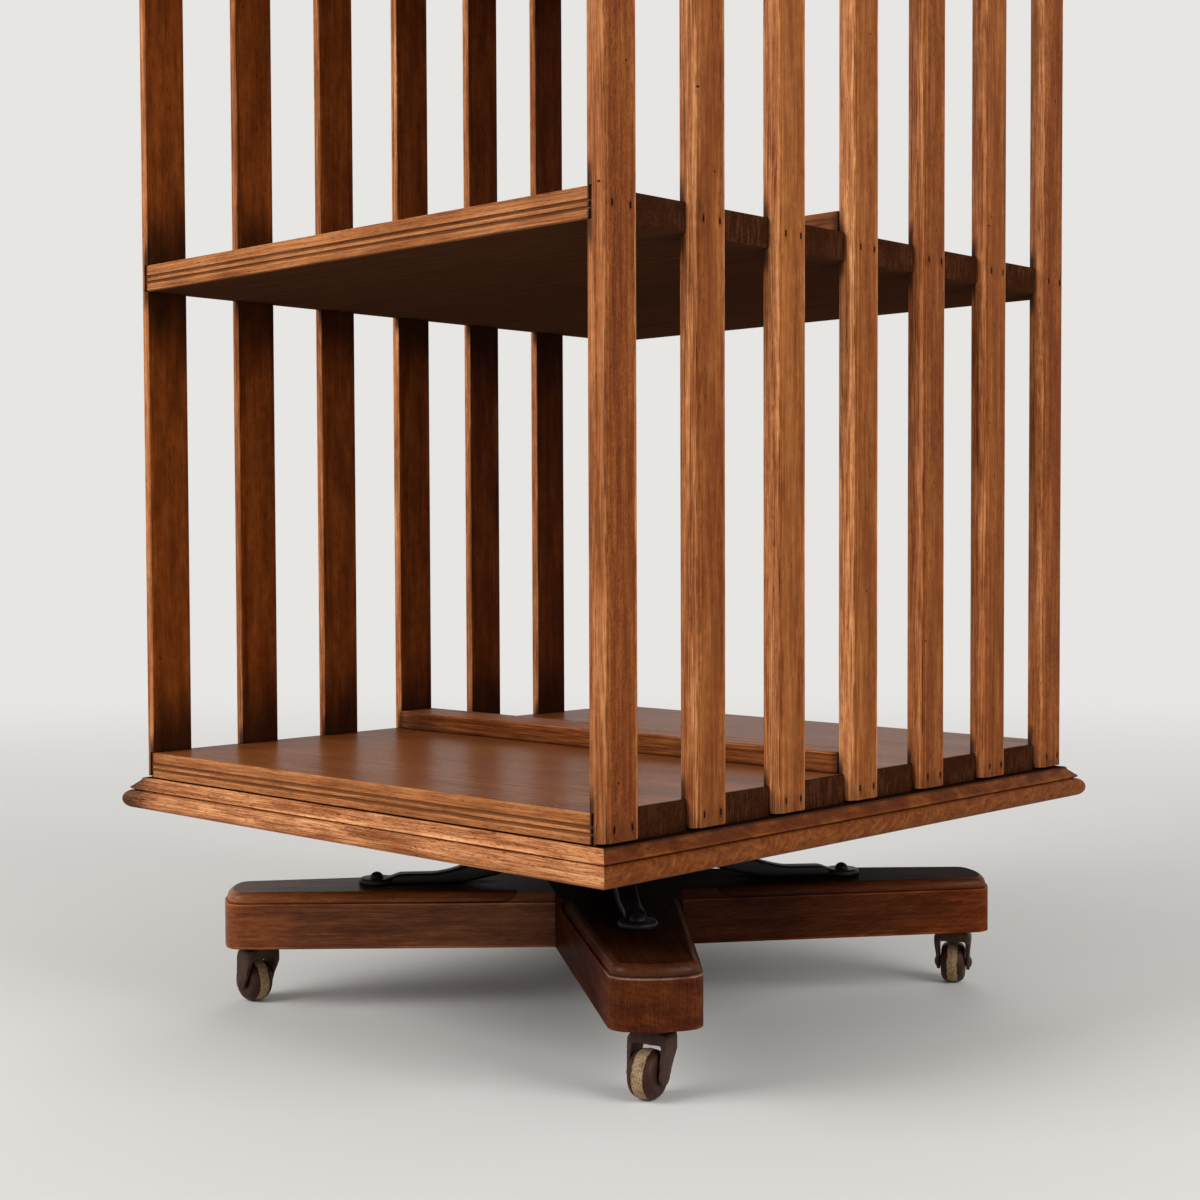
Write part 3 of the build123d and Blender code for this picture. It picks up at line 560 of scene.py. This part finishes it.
def shelf_material(oak, name):
    """Oak of a shelf: waxed top, reeded open edges, soot-dark ends and a dull underside darkened as painted shade.
    """
    finish = Finish(f"{name}_oak")
    low, high = size_mm(name)
    half = (high.z - low.z) / 2
    depth = finish.z - (low.z + high.z) / 2
    seed = board_seed(low)
    figure = plank_figure(finish, seed, depth)
    patch = finish.noise(finish.x / 60, finish.y / 30, finish.z / 20 + seed, detail=4.0)
    ragged = finish.noise(finish.x / 9, finish.y / 9, finish.z / 2.5 + seed, detail=3.0)
    off_x = abs(finish.x)
    off_y = abs(finish.y)
    edge = off_y.ramp(high.y - 1.3, high.y - 0.5)
    end = off_x.ramp(high.x - 0.5, high.x - 0.1)
    up = depth.ramp(half - 0.5, half - 0.1)
    down = (-depth).ramp(half - 0.5, half - 0.1)

    # Waxed top, paler open edge, dull underside darkened as painted shade, and sawn end grain
    edge_tone = finish.varied(patch.ramp(0.28, 0.72), oak.edge, (0.78, 0.70, 0.62), (1.24, 1.32, 1.42))
    top_tone = finish.varied(patch.ramp(0.25, 0.75), oak.board, (0.88, 0.84, 0.82), (1.14, 1.18, 1.20))
    tone = finish.mix(edge, top_tone, edge_tone)
    tone = finish.mix(down * (1 - edge), tone, rgba(oak.shaded_underside))
    sawn = finish.noise(finish.y / 1.8, finish.z / 14, finish.x / 9, detail=3.0, seed=47.0).ramp(0.40, 0.62)
    end_tone = finish.varied(sawn * patch.ramp(0.3, 0.6), oak.end, (0.80, 0.76, 0.72), (1.60, 1.55, 1.50))
    tone = finish.mix(end, tone, end_tone)

    # Rubbed arrises paled by wear and by a painted highlight, dark reeds, and the bright ridges beside them, a
    # painted highlight
    arris = (depth + off_y).ramp(half + high.y - 1.2, half + high.y - 0.7)
    tone = finish.tint(0.8 * arris * ragged.ramp(0.35, 0.6) * (1 - end), tone, (1.35, 1.45, 1.60))
    off_reed = abs(depth + REED_DROP) - REED_SPACING / 2
    reeds = finish.line(off_reed, 1.05) * edge
    ridge_highlight = finish.line(abs(off_reed) - 1.45, 0.60) * edge
    tone = finish.tint(0.40 * ridge_highlight * ragged.ramp(0.30, 0.55), tone, (1.45, 1.60, 1.75))

    # Dirt and painted shade in the reeds, soil along the lower joint and in open grain, and painted shade against
    # and beneath the slats
    joint = edge * (-depth).ramp(half - 1.1, half - 0.4)
    tick = finish.noise(finish.x / 4.5, finish.y / 2, finish.z / 0.5, seed=61.0).ramp(0.57, 0.72)
    near_slat = off_x.ramp(CORNER_SLAT, CORNER_SLAT + 1.0) * edge
    under_slat = off_x.ramp(CORNER_SLAT, CORNER_SLAT + 2.6) * up
    book_dirt = patch.ramp(0.66, 0.80) * up * 0.15
    grime_and_shade = (0.84 * reeds + 0.55 * joint + 0.50 * tick * edge + 0.9 * near_slat + 0.8 * under_slat
             + book_dirt).capped(0.93)
    contrast = 0.44 + 0.30 * edge * (1 - end)
    dull = (0.5 + 0.14 * up + down + end).capped(1.0)
    return oak_surface(finish, tone, figure, contrast, grime_and_shade, polish=0.22, coat=0.14 * up, dull=dull)


def moulded_material(oak, name):
    """Oak of plinth or top: bleached open edges, golden end grain, dark quirk and a bright narrow band."""
    finish = Finish(f"{name}_oak")
    low, high = size_mm(name)
    plinth = name == "plinth_board"
    rise = finish.z - low.z if plinth else high.z - finish.z
    thickness = high.z - low.z
    seed = board_seed(low)
    figure = plank_figure(finish, seed, finish.z - low.z)
    patch = finish.noise(finish.x / 45, finish.y / 22, finish.z / 9 + seed, detail=4.0)
    blotch = finish.noise(finish.x / 11, finish.y / 11, finish.z / 5 + seed, detail=3.0)
    mottle = finish.noise(finish.x / 2.2, finish.y / 1.6, finish.z / 1.6, detail=3.0, roughness=0.7,
                          seed=9.0)
    off_x = abs(finish.x) - high.x
    off_y = abs(finish.y) - high.y
    ends = (off_x - off_y).ramp(-0.4, 0.4)
    rim = off_x.math("MAXIMUM", off_y).ramp(-11.2, -10.6)
    wide_face = rise.ramp(0.25, 0.05)
    narrow_face = rise.ramp(thickness - 0.25, thickness - 0.05)
    above_quirk = rise.ramp(NOSE_HEIGHT + 0.1, NOSE_HEIGHT + 0.7)

    # Bleached open edges, browner low on the nose
    bleached = finish.varied(patch.ramp(0.28, 0.70), oak.bleached, (0.72, 0.60, 0.52), (1.20, 1.30, 1.42))
    bleached = finish.tint(0.8 * rise.ramp(5.0, 1.0), bleached, (0.84, 0.66, 0.50))

    # Golden ends, with the arcs of the growth rings that end grain shows
    arcs = finish.noise(finish.y / 34, finish.z / 60, finish.x / 90, detail=1.0, seed=21.0)
    arcs = (finish.y / 9 - (rise * rise) / 90 + 7.0 * arcs + 0.8 * blotch).math("FRACT")
    shown_arcs = (1 - 0.7 * above_quirk) * patch.ramp(0.30, 0.55)
    golden = finish.varied(blotch.ramp(0.28, 0.72), oak.golden, (0.80, 0.70, 0.64), (1.20, 1.28, 1.34))
    golden = finish.tint(0.42 * finish.line(arcs - 0.75, 0.24) * shown_arcs, golden, (0.62, 0.50, 0.40))
    golden = finish.tint(0.42 * finish.line(arcs - 0.42, 0.20) * shown_arcs, golden, (1.45, 1.60, 1.75))
    golden = finish.tint(0.85 * above_quirk * patch.ramp(0.66, 0.46), golden, (0.55, 0.42, 0.40))
    golden = finish.tint(0.40 * mottle.ramp(0.50, 0.66), golden, (0.60, 0.50, 0.42))
    tone = finish.mix(ends, bleached, golden)
    # A bright narrow band beside the quirk, rubbed pale and also a painted highlight
    band_middle = NOSE_HEIGHT + QUIRK_HEIGHT + BAND_HEIGHT / 2
    band = finish.line(rise - band_middle - 0.2, 0.95)
    tone = finish.tint(0.8 * band, tone, (1.35, 1.42, 1.50))

    # The wide face is an underside on the plinth, darkened as painted shade, and the waxed top on the top board
    waxed_top = finish.varied(patch.ramp(0.25, 0.75), oak.board, (0.90, 0.87, 0.85), (1.18, 1.22, 1.25))
    tone = finish.mix(wide_face, tone, rgba(oak.shaded_underside) if plinth else waxed_top)
    tone = finish.mix(narrow_face, tone, rgba(oak.end))

    # Dirt in the quirk, in open grain, in knots and at one corner, and painted shade round the board next to it
    # and in the gap beneath the slat ends
    quirk = finish.line(rise - (NOSE_HEIGHT + QUIRK_HEIGHT / 2), 0.50) * rim
    shadow_gap = narrow_face * (1 - rim) + 0.75 * ends * rise.ramp(thickness - 1.9, thickness - 0.6)
    tick = finish.noise(finish.x / 4.2, finish.y / 2, finish.z / 0.45, seed=61.0).ramp(0.56, 0.72)
    knot = finish.noise(finish.x / 7, finish.y / 5, finish.z / 4, seed=83.0).ramp(0.66, 0.76)
    worn_corner = (off_x + off_y + 12 * (blotch - 0.5)).ramp(-42, -11) * (1 - wide_face)
    worn_corner = worn_corner * (finish.x + finish.y).ramp(-380, -430)
    grime_and_shade = (0.12 * quirk + shadow_gap + 0.70 * tick * (1 - ends) * (1 - wide_face)
             + 0.50 * knot * (1 - 0.8 * wide_face) + 0.78 * worn_corner).capped(0.94)
    contrast = 1.0 - 0.70 * ends * (1 - wide_face) - 0.45 * wide_face
    dull = (0.5 + narrow_face + (1.0 if plinth else 0.22) * wide_face).capped(1.0)
    coat = 0.03 if plinth else 0.03 + 0.14 * wide_face
    return oak_surface(finish, tone, figure, contrast, grime_and_shade, polish=0.40, coat=coat, dull=dull,
                       corners=0.35)


def stop_material(oak, name):
    """Reddish oak of a book stop, rubbed pale along its top corners, which also carry a painted highlight."""
    finish = Finish(f"{name}_oak")
    low, high = size_mm(name)
    figure = Figure(finish, finish.x + low.z, finish.y, finish.z - low.z, 22.0, -70.0)
    patch = finish.noise(finish.x / 40, finish.y / 8, finish.z / 5, detail=4.0)
    up = (finish.z - high.z).ramp(-0.4, -0.1)
    # Top corners paled by wear and by a painted highlight
    arris = (finish.z - high.z + abs(finish.y) - high.y).ramp(-1.4, -0.9)
    tone = finish.varied(patch.ramp(0.3, 0.7), oak.stop, (0.72, 0.62, 0.58), (1.25, 1.32, 1.38))
    tone = finish.mix(up, tone, finish.tinted(oak.board, (1.15, 1.15, 1.15)))
    tone = finish.tint(arris * (1 - up) * patch.ramp(0.25, 0.45), tone, (1.9, 2.0, 2.2))
    foot = (finish.z - low.z).ramp(1.2, 0.2) * 0.85
    end = abs(finish.x).ramp(high.x - 6, high.x - 0.5) * 0.6
    return oak_surface(finish, tone, figure, 1.05, (foot + end).capped(0.9), coat=0.05)


class BOOKCASE_OT_finish_cross(bpy.types.Operator):
    """Give the rails of the cross dark polished oak with its grain along each rail"""

    bl_idname = "bookcase.finish_cross"
    bl_label = "Finish cross"

    def execute(self, context):
        for name, heading in RAILS.items():
            paint(name, rail_material(context.scene.bookcase_oak, name, heading))
        return {"FINISHED"}


def rail_material(oak, name, heading):
    """Dark oak of one rail, with scuffs on its sides, rubbed pale along the ledge of its moulding with painted
    highlights, and on the lower rail painted light on one half and painted shade on the other.
    """
    finish = Finish(f"{name}_oak")
    low, high = size_mm(name)
    turn = math.radians(heading)
    along = finish.x * math.cos(turn) + finish.y * math.sin(turn)
    across = finish.y * math.cos(turn) - finish.x * math.sin(turn)
    depth = finish.z - low.z
    thickness = high.z - low.z
    ledge = thickness - OVOLO_HEIGHT
    lower = name == "cross_rail_lower"
    figure = Figure(finish, along + heading * 11, across, depth, -34.0, -82.0)
    patch = finish.noise(along / 50, across / 25, depth / 9 + heading, detail=4.0)
    scuff = finish.noise(along / 16, across / 20, depth / 0.9 + heading, detail=3.0, roughness=0.6)
    scuff = scuff.ramp(0.50, 0.68)
    side = depth.ramp(ledge + 0.2, ledge - 0.2)
    top = depth.ramp(thickness - 0.35, thickness - 0.05)
    shaded_underside = depth.ramp(0.4, 0.1)
    ovolo = (1 - side) * (1 - top)
    from_middle = abs(along)
    tip = from_middle.ramp(200, 245)

    # The lower rail is paler and hazier, as painted light, from one end as far as the crossing, and dark beyond it
    # as painted shade, paler again towards its far end; the upper one is worn a little at its ends
    worn = 1 - along.ramp(-70, 40) if lower else 0.16 * tip
    tone = finish.mix(worn * 0.9, rgba(oak.cross), rgba(oak.scuffed_and_lit))
    tone = finish.varied(patch.ramp(0.30, 0.70), tone, (0.72, 0.66, 0.62), (1.22, 1.26, 1.30))
    tone = finish.tint(0.65 * tip * side, tone, (1.55, 1.25, 0.85))
    if lower:
        tone = finish.tint(along.ramp(90, 235) * (1 - top), tone, (2.50, 2.55, 2.30))
    # Paler ovolo, paler still on the lower rail's painted-light half
    tone = finish.tint(0.55 * ovolo * (0.3 + worn), tone, (1.75, 1.55, 1.20))

    # Streaked end grain, darker top, paler ovolo at the ends as a painted sheen, hazy scuffs heaviest on the lower
    # rail's painted-light half, and slanting flecks
    end_streak = finish.noise(along / 9, across / 0.75, depth / 22, seed=31.0).ramp(0.48, 0.66)
    streaked = (0.12 if lower else 0.60) * end_streak * from_middle.ramp(RAIL_END - 7, RAIL_END)
    tone = finish.tint(streaked * side, tone, (1.7, 1.6, 1.4))
    tone = finish.tint(0.75 * top, tone, (0.60, 0.68, 0.75))
    tone = finish.tint(0.70 * ovolo * tip, tone, (1.15, 1.35, 1.60))
    tone = finish.tint(0.55 * scuff * side * (0.35 + 0.65 * worn), tone, (1.55, 1.70, 1.95))
    if lower:
        flecks = finish.noise((along + 0.40 * depth) / 11, (depth - 0.40 * along) / 1.1, across / 9,
                              detail=3.0, seed=53.0).ramp(0.52, 0.68)
        tone = finish.tint(0.60 * flecks * side * (1 - worn), tone, (1.70, 1.65, 1.50))

    # Ledge and foot rubbed pale, the ledge also with a painted highlight, and a painted highlight near the ends of
    # the upper rail's ledge
    rubbed = patch.ramp(0.30, 0.50)
    arris = finish.line(depth - (ledge - 0.35), 0.80) * (0.45 + 0.55 * rubbed)
    foot = finish.line(depth - 0.6, 1.2) * patch.ramp(0.42, 0.60)
    tone = finish.tint(0.85 * (arris + 0.8 * foot).capped(1.0), tone, (2.3, 2.2, 2.0))
    if not lower:
        shine = finish.line(depth - (ledge - 0.3), 0.7) * from_middle.ramp(RAIL_END - 15, RAIL_END)
        tone = finish.mix(0.50 * shine * rubbed, tone, LEDGE_HIGHLIGHT)

    # Dirt round the crossing, a painted shadow in the groove over the ledge, and painted shade on the underside
    groove = finish.line(depth - (ledge + 0.5), 0.7) * 0.55
    crossing = (along * along + across * across) ** 0.5
    crossing = (1 - side) * crossing.ramp(150, 60) * 0.5
    grime_and_shade = (groove + crossing + 0.5 * shaded_underside).capped(0.9)
    dull = (0.80 - 0.40 * worn - 0.25 * ovolo * tip + 0.12 * top + shaded_underside).capped(1.0)
    return oak_surface(finish, tone, figure, 0.55, grime_and_shade, relief=0.03, polish=0.33,
                       coat=0.10 * (1 - shaded_underside), dull=dull)


# Ironwork

def japan_material():
    """Black japan over a sand casting, dusty in patches."""
    iron = bpy.context.scene.bookcase_iron
    finish = Finish("black_japan")
    grain = finish.speckle(1.3)
    patch = finish.speckle(9)
    rust = finish.speckle(4, detail=4.0, seed=8.0).ramp(0.62, 0.75)
    tone = finish.mix(0.4 * rust, rgba(iron.japan), RUST)
    tone = finish.mix(patch.ramp(0.5, 0.85) * 0.25, tone, DUST)
    shader = finish.shader(tone, 0.34 + 0.22 * patch + 0.2 * rust, grain + 1.5 * patch, 0.10,
                           Specular_IOR_Level=0.22)
    return finish.done(shader)


def castor_iron_material():
    """Worn brown iron, with painted shade black in its corners."""
    iron = bpy.context.scene.bookcase_iron
    finish = Finish("castor_iron")
    grain = finish.speckle(0.9)
    patch = finish.speckle(5, detail=4.0)
    tone = finish.mix(patch.ramp(0.35, 0.7), rgba(iron.horn), finish.tinted(iron.horn, (1.9, 1.7, 1.6)))
    tone = finish.mix(finish.crevice(3).ramp(0.6, 0.2), tone, IRON_CORNER_SHADE)
    shader = finish.shader(tone, 0.44 + 0.25 * patch, grain + patch, 0.14, Specular_IOR_Level=0.18)
    return finish.done(shader)


def metal_material(name, colour, roughness):
    """Dull bare metal with fine scratches."""
    finish = Finish(name)
    grain = finish.noise(finish.x / 0.6, finish.y / 0.6, finish.z / 4, detail=3.0)
    patch = finish.speckle(8)
    tone = finish.mix(patch.ramp(0.2, 0.8), finish.tinted(colour, (0.82, 0.78, 0.74)), colour)
    return finish.done(finish.shader(tone, roughness + 0.2 * patch, grain, 0.04, Metallic=1.0))


class BOOKCASE_OT_finish_ironwork(bpy.types.Operator):
    """Paint the castings, and give pins, screws, washer and castors their metal"""

    bl_idname = "bookcase.finish_ironwork"
    bl_label = "Finish ironwork"

    def execute(self, context):
        japan = japan_material()
        steel = metal_material("dull_steel", STEEL, 0.42)
        brass = metal_material("old_brass", BRASS, 0.34)
        castor_iron = castor_iron_material()
        for name in ("spider", "spider_bolts", "lower_bearing", "head_bearing"):
            paint(name, japan)
        for name in ("pillar", "pillar_pin", *SCREWS):
            paint(name, steel)
        paint("thrust_washer", brass)
        paint("slat_brads", castor_iron)
        for name in frame["nodes"]:
            if name.startswith("castor_") and "wheel" not in name:
                paint(name, castor_iron)
        return {"FINISHED"}


class BOOKCASE_OT_finish_wheels(bpy.types.Operator):
    """Give each castor wheel dark turned sides and a pale worn tread"""

    bl_idname = "bookcase.finish_wheels"
    bl_label = "Finish wheels"

    def execute(self, context):
        for joint in frame["joints"]:
            if joint["name"].endswith("_spin"):
                number = joint["name"].split("_")[1]
                paint(f"castor_wheel_{number}", wheel_material(number, joint))
        return {"FINISHED"}


def wheel_material(number, joint):
    """Wheel that is worn pale on its tread, dark and ringed on its sides."""
    iron = bpy.context.scene.bookcase_iron
    finish = Finish(f"wheel_{number}_finish")
    hub = Vector(joint["pos_m"]) / MILLIMETRE
    axle = Vector(joint["axis"])
    x, y, z = finish.x - hub.x, finish.y - hub.y, finish.z - hub.z
    sideways = x * axle.x + y * axle.y
    forwards = y * axle.x - x * axle.y
    radius = (forwards * forwards + z * z) ** 0.5
    off = abs(sideways)
    grain = finish.speckle(0.7)
    patch = finish.speckle(4)
    rings = finish.noise(radius / 0.8, off / 0.8, radius * 0)
    ragged_off = off + 2.4 * (patch - 0.5) + 1.2 * (grain - 0.5)
    tread = ragged_off.ramp(TREAD_HALF_WIDTH, TREAD_HALF_WIDTH - 0.5)
    tread = tread * radius.ramp(TREAD_RADIUS, TREAD_RADIUS + 0.8)
    side = finish.varied(rings.ramp(0.35, 0.65), iron.wheel, (0.55, 0.50, 0.50), (1.25, 1.20, 1.15))
    band = finish.mix(grain.ramp(0.38, 0.60), finish.tinted(iron.tread, (0.45, 0.38, 0.32)),
                      rgba(iron.tread))
    tone = finish.mix(tread * (0.45 + 0.55 * patch.ramp(0.25, 0.5)), side, band)
    # Painted shade in the wheel's corners, from ambient occlusion
    tone = finish.mix(finish.crevice(3).ramp(0.6, 0.2), tone, WHEEL_CORNER_SHADE)
    roughness = 0.42 + 0.35 * tread + 0.15 * grain
    height = 0.5 * rings + 1.5 * grain * tread
    shader = finish.shader(tone, roughness, height, 0.12, Specular_IOR_Level=0.18)
    return finish.done(shader)


def paint(name, material):
    """Put one material on a CAD node."""
    mesh = frame["nodes"][name].data
    mesh.materials.clear()
    mesh.materials.append(material)


def body_of(name):
    """Body that a CAD node belongs to."""
    bodies = frame["record"]["behaviour"]["bodies"]
    return next(body for body, nodes in bodies.items() if name in nodes)


def stand_in(piece, name):
    """The piece takes a CAD node's place and body; the node is hidden."""
    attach(piece, body_of(name))
    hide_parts(name)


# Castings, their edges rounded as they leave the sand

class BOOKCASE_OT_soften_castings(bpy.types.Operator):
    """Model the spider and the castors' plates and horns with the soft edges of real castings"""

    bl_idname = "bookcase.soften_castings"
    bl_label = "Soften castings"

    def execute(self, context):
        castings = context.scene.bookcase_castings
        soften("spider", castings.spider_grid, castings.rounds)
        for joint in frame["joints"]:
            if joint["name"].endswith("_swivel"):
                number = joint["name"].split("_")[1]
                for part in ("plate", "horn"):
                    name = f"castor_{part}_{number}"
                    soften(name, castings.castor_grid, castings.rounds, joint["pos_m"])
        return {"FINISHED"}


def soften(name, grid, rounds, pivot=None):
    """Copy a casting, rebuild its skin on a fine grid and smooth it, all but the fit round its pivot."""
    bpy.ops.object.select_all(action="DESELECT")
    source = frame["nodes"][name]
    piece = bpy.data.objects.new(f"{name}_casting", source.data.copy())
    bpy.context.scene.collection.objects.link(piece)
    piece.select_set(True)
    bpy.context.view_layer.objects.active = piece
    bpy.ops.object.mode_set(mode="EDIT")
    bpy.ops.mesh.select_all(action="SELECT")
    bpy.ops.mesh.remove_doubles(threshold=MERGE_REACH * MILLIMETRE)
    bpy.ops.object.mode_set(mode="OBJECT")
    remesh = piece.modifiers.new("skin", "REMESH")
    remesh.mode = "VOXEL"
    remesh.voxel_size = grid
    bpy.ops.object.modifier_apply(modifier="skin")
    smooth = piece.modifiers.new("smooth", "SMOOTH")
    smooth.factor = SMOOTHING
    smooth.iterations = rounds
    if pivot:
        free = piece.vertex_groups.new(name="free")
        reach = PIVOT_REACH * MILLIMETRE
        away = [point.index for point in piece.data.vertices
                if math.hypot(point.co.x - pivot[0], point.co.y - pivot[1]) > reach]
        free.add(away, 1.0, "REPLACE")
        smooth.vertex_group = free.name
    bpy.ops.object.modifier_apply(modifier="smooth")
    piece.vertex_groups.clear()
    bpy.ops.object.shade_smooth()
    stand_in(piece, name)


# Screws with slots

class BOOKCASE_OT_make_screws(bpy.types.Operator):
    """Model the countersunk wood screws with slotted heads"""

    bl_idname = "bookcase.make_screws"
    bl_label = "Make screws"

    def execute(self, context):
        for name, (columns, rows, head_mm, shank_mm) in SCREWS.items():
            make_screws(name, columns, rows, head_mm * MILLIMETRE, shank_mm * MILLIMETRE)
        return {"FINISHED"}


def make_screws(name, columns, rows, head, shank):
    """One slotted screw, modelled once and copied to each place, each copy turned differently."""
    low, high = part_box(name)
    first = model_screw(head, shank, high.z - low.z)
    screws = []
    for column in range(columns):
        for row in range(rows):
            place = Vector((low.x + head + (high.x - low.x - 2 * head) * column / (columns - 1),
                            low.y + head + (high.y - low.y - 2 * head) * row / (rows - 1), low.z))
            turn = Matrix.Rotation(1.3 * column + 2.1 * row, 4, "Z")
            screw = bpy.data.objects.new(f"{name}_slotted", first.data.copy())
            screw.data.transform(Matrix.Translation(place) @ turn)
            bpy.context.scene.collection.objects.link(screw)
            screws.append(screw)
    bpy.data.objects.remove(first)
    bpy.ops.object.select_all(action="DESELECT")
    for screw in screws:
        screw.select_set(True)
    bpy.context.view_layer.objects.active = screws[0]
    bpy.ops.object.join()
    screws[0].data.materials.clear()
    screws[0].data.materials.append(bpy.data.materials["dull_steel"])
    stand_in(screws[0], name)


def model_screw(head, shank, length):
    """Countersunk screw at the origin, its slotted head down."""
    bpy.ops.object.select_all(action="DESELECT")
    rise = head - shank
    tip = 2 * shank
    bpy.ops.mesh.primitive_cone_add(vertices=SCREW_SIDES, radius1=head, radius2=shank, depth=rise,
                                    location=(0, 0, rise / 2))
    screw = bpy.context.object
    bpy.ops.object.transform_apply(location=True, rotation=False, scale=False)
    bpy.ops.object.mode_set(mode="EDIT")
    mesh = bmesh.from_edit_mesh(screw.data)
    for face in mesh.faces:
        face.select_set(face.normal.z > 0.9)
    bmesh.update_edit_mesh(screw.data)
    bpy.ops.mesh.extrude_region_move(TRANSFORM_OT_translate={"value": (0, 0, length - rise - tip)})
    bpy.ops.mesh.extrude_region_move(TRANSFORM_OT_translate={"value": (0, 0, tip)})
    bpy.ops.transform.resize(value=(POINT_TAPER, POINT_TAPER, 1), center_override=(0, 0, length))
    bpy.ops.object.mode_set(mode="OBJECT")
    slot_length, slot_width, slot_depth = 2.2 * head, 0.26 * head, 0.28 * head
    bpy.ops.mesh.primitive_cube_add(size=1, location=(0, 0, 0),
                                    scale=(slot_length, slot_width, 2 * slot_depth))
    cutter = bpy.context.object
    bpy.context.view_layer.objects.active = screw
    slot = screw.modifiers.new("slot", "BOOLEAN")
    slot.operation = "DIFFERENCE"
    slot.solver = "EXACT"
    slot.object = cutter
    bpy.ops.object.modifier_apply(modifier="slot")
    bpy.data.objects.remove(cutter)
    return screw


# Studio

class BOOKCASE_OT_set_studio(bpy.types.Operator):
    """Lay the pale floor, hang soft lights and set up the camera"""

    bl_idname = "bookcase.set_studio"
    bl_label = "Set studio"

    def execute(self, context):
        studio = context.scene.bookcase_studio
        lay_floor(studio)
        for name, (place, width) in LIGHTS.items():
            hang_light(f"{name}_light", place, width, getattr(studio, f"{name}_power"))
        light_world(studio)
        set_camera(studio)
        return {"FINISHED"}


def lay_floor(studio):
    """A large level floor that fades with distance into the pale backdrop."""
    bpy.ops.object.select_all(action="DESELECT")
    bpy.ops.mesh.primitive_plane_add(size=FLOOR_SIZE)
    floor = bpy.context.object
    floor.name = "floor"
    finish = Finish("floor_paint")
    patch = finish.speckle(300)
    tone = finish.tint(0.25 * patch, rgba(studio.floor_tone), (0.93, 0.93, 0.92))
    lit = finish.shader(tone, 0.75 + 0.1 * patch, Specular_IOR_Level=0.2)
    backdrop = finish.node("ShaderNodeEmission",
                           values={"Color": rgba(studio.backdrop_tone), "Strength": 1.0})
    radius = (finish.x * finish.x + finish.y * finish.y) ** 0.5
    faded = radius.ramp(*FLOOR_FADE) * finish.seen()
    floor.data.materials.append(finish.done(finish.between(faded, lit, backdrop)))


def hang_light(name, place, width, power):
    """A square soft light that faces the lower tier."""
    lamp = bpy.data.lights.new(name, "AREA")
    lamp.shape = "SQUARE"
    lamp.size = width
    lamp.energy = power
    light = bpy.data.objects.new(name, lamp)
    light.location = place
    light.rotation_euler = (LIT_POINT - Vector(place)).to_track_quat("-Z", "Y").to_euler()
    bpy.context.scene.collection.objects.link(light)


def light_world(studio):
    """Even fill light, with the pale backdrop for the camera and for reflections."""
    nodes = Nodes(bpy.data.worlds.new("pale_room"))
    fill = nodes.node("ShaderNodeBackground", values={"Color": FILL_COLOUR, "Strength": studio.fill})
    backdrop = nodes.node("ShaderNodeBackground",
                          values={"Color": rgba(studio.backdrop_tone), "Strength": 1.0})
    world = nodes.done(nodes.between(nodes.seen(), fill, backdrop), "ShaderNodeOutputWorld")
    bpy.context.scene.world = world


def set_camera(studio):
    """The photograph's viewpoint."""
    heading, pitch, roll = studio.camera_heading, studio.camera_pitch, studio.camera_roll
    level = Vector((-math.sin(heading), math.cos(heading), 0))
    right = Vector((math.cos(heading), math.sin(heading), 0))
    up = Vector((0, 0, 1))
    forward = math.cos(pitch) * level + math.sin(pitch) * up
    up = math.cos(pitch) * up - math.sin(pitch) * level
    rolled_right = math.cos(roll) * right + math.sin(roll) * up
    rolled_up = math.cos(roll) * up - math.sin(roll) * right
    turn = Matrix((rolled_right, rolled_up, -forward)).transposed().to_4x4()
    lens = bpy.data.cameras.new("photo_camera")
    lens.sensor_width = SENSOR_WIDTH
    lens.lens = studio.lens
    lens.shift_y = SHIFT_UP
    camera = bpy.data.objects.new("photo_camera", lens)
    camera.matrix_world = Matrix.Translation(studio.camera_place) @ turn
    bpy.context.scene.collection.objects.link(camera)
    bpy.context.scene.camera = camera
    bpy.context.scene.view_settings.view_transform = "Standard"


class BOOKCASE_PT_panel(bpy.types.Panel):
    """Sidebar panel that lists the bookcase's steps and colours"""

    bl_idname = "BOOKCASE_PT_panel"
    bl_label = "Revolving bookcase"
    bl_space_type = "VIEW_3D"
    bl_region_type = "UI"
    bl_category = "Bookcase"

    def draw(self, context):
        for step in STEPS:
            self.layout.operator(step.bl_idname)
        for name, group in GROUPS.items():
            settings = getattr(context.scene, name)
            for key in group.__annotations__:
                self.layout.prop(settings, key)


STEPS = (BOOKCASE_OT_finish_slats, BOOKCASE_OT_finish_boards, BOOKCASE_OT_finish_cross,
         BOOKCASE_OT_finish_ironwork, BOOKCASE_OT_finish_wheels, BOOKCASE_OT_soften_castings,
         BOOKCASE_OT_make_screws, BOOKCASE_OT_set_studio)
GROUPS = {"bookcase_oak": OakTones, "bookcase_iron": IronTones, "bookcase_castings": Castings,
          "bookcase_studio": StudioSettings}


def register():
    """Make the settings, steps and panel known to Blender."""
    for group in (*GROUPS.values(), *STEPS, BOOKCASE_PT_panel):
        bpy.utils.register_class(group)
    for name, group in GROUPS.items():
        setattr(bpy.types.Scene, name, PointerProperty(type=group))


def unregister():
    """Take them out again."""
    for name in GROUPS:
        delattr(bpy.types.Scene, name)
    for group in (BOOKCASE_PT_panel, *reversed(STEPS), *GROUPS.values()):
        bpy.utils.unregister_class(group)


def main():
    """Run every step in order."""
    register()
    bpy.ops.bookcase.finish_slats()
    bpy.ops.bookcase.finish_boards()
    bpy.ops.bookcase.finish_cross()
    bpy.ops.bookcase.finish_ironwork()
    bpy.ops.bookcase.finish_wheels()
    bpy.ops.bookcase.soften_castings()
    bpy.ops.bookcase.make_screws()
    bpy.ops.bookcase.set_studio()


if __name__ == "__main__":
    main()
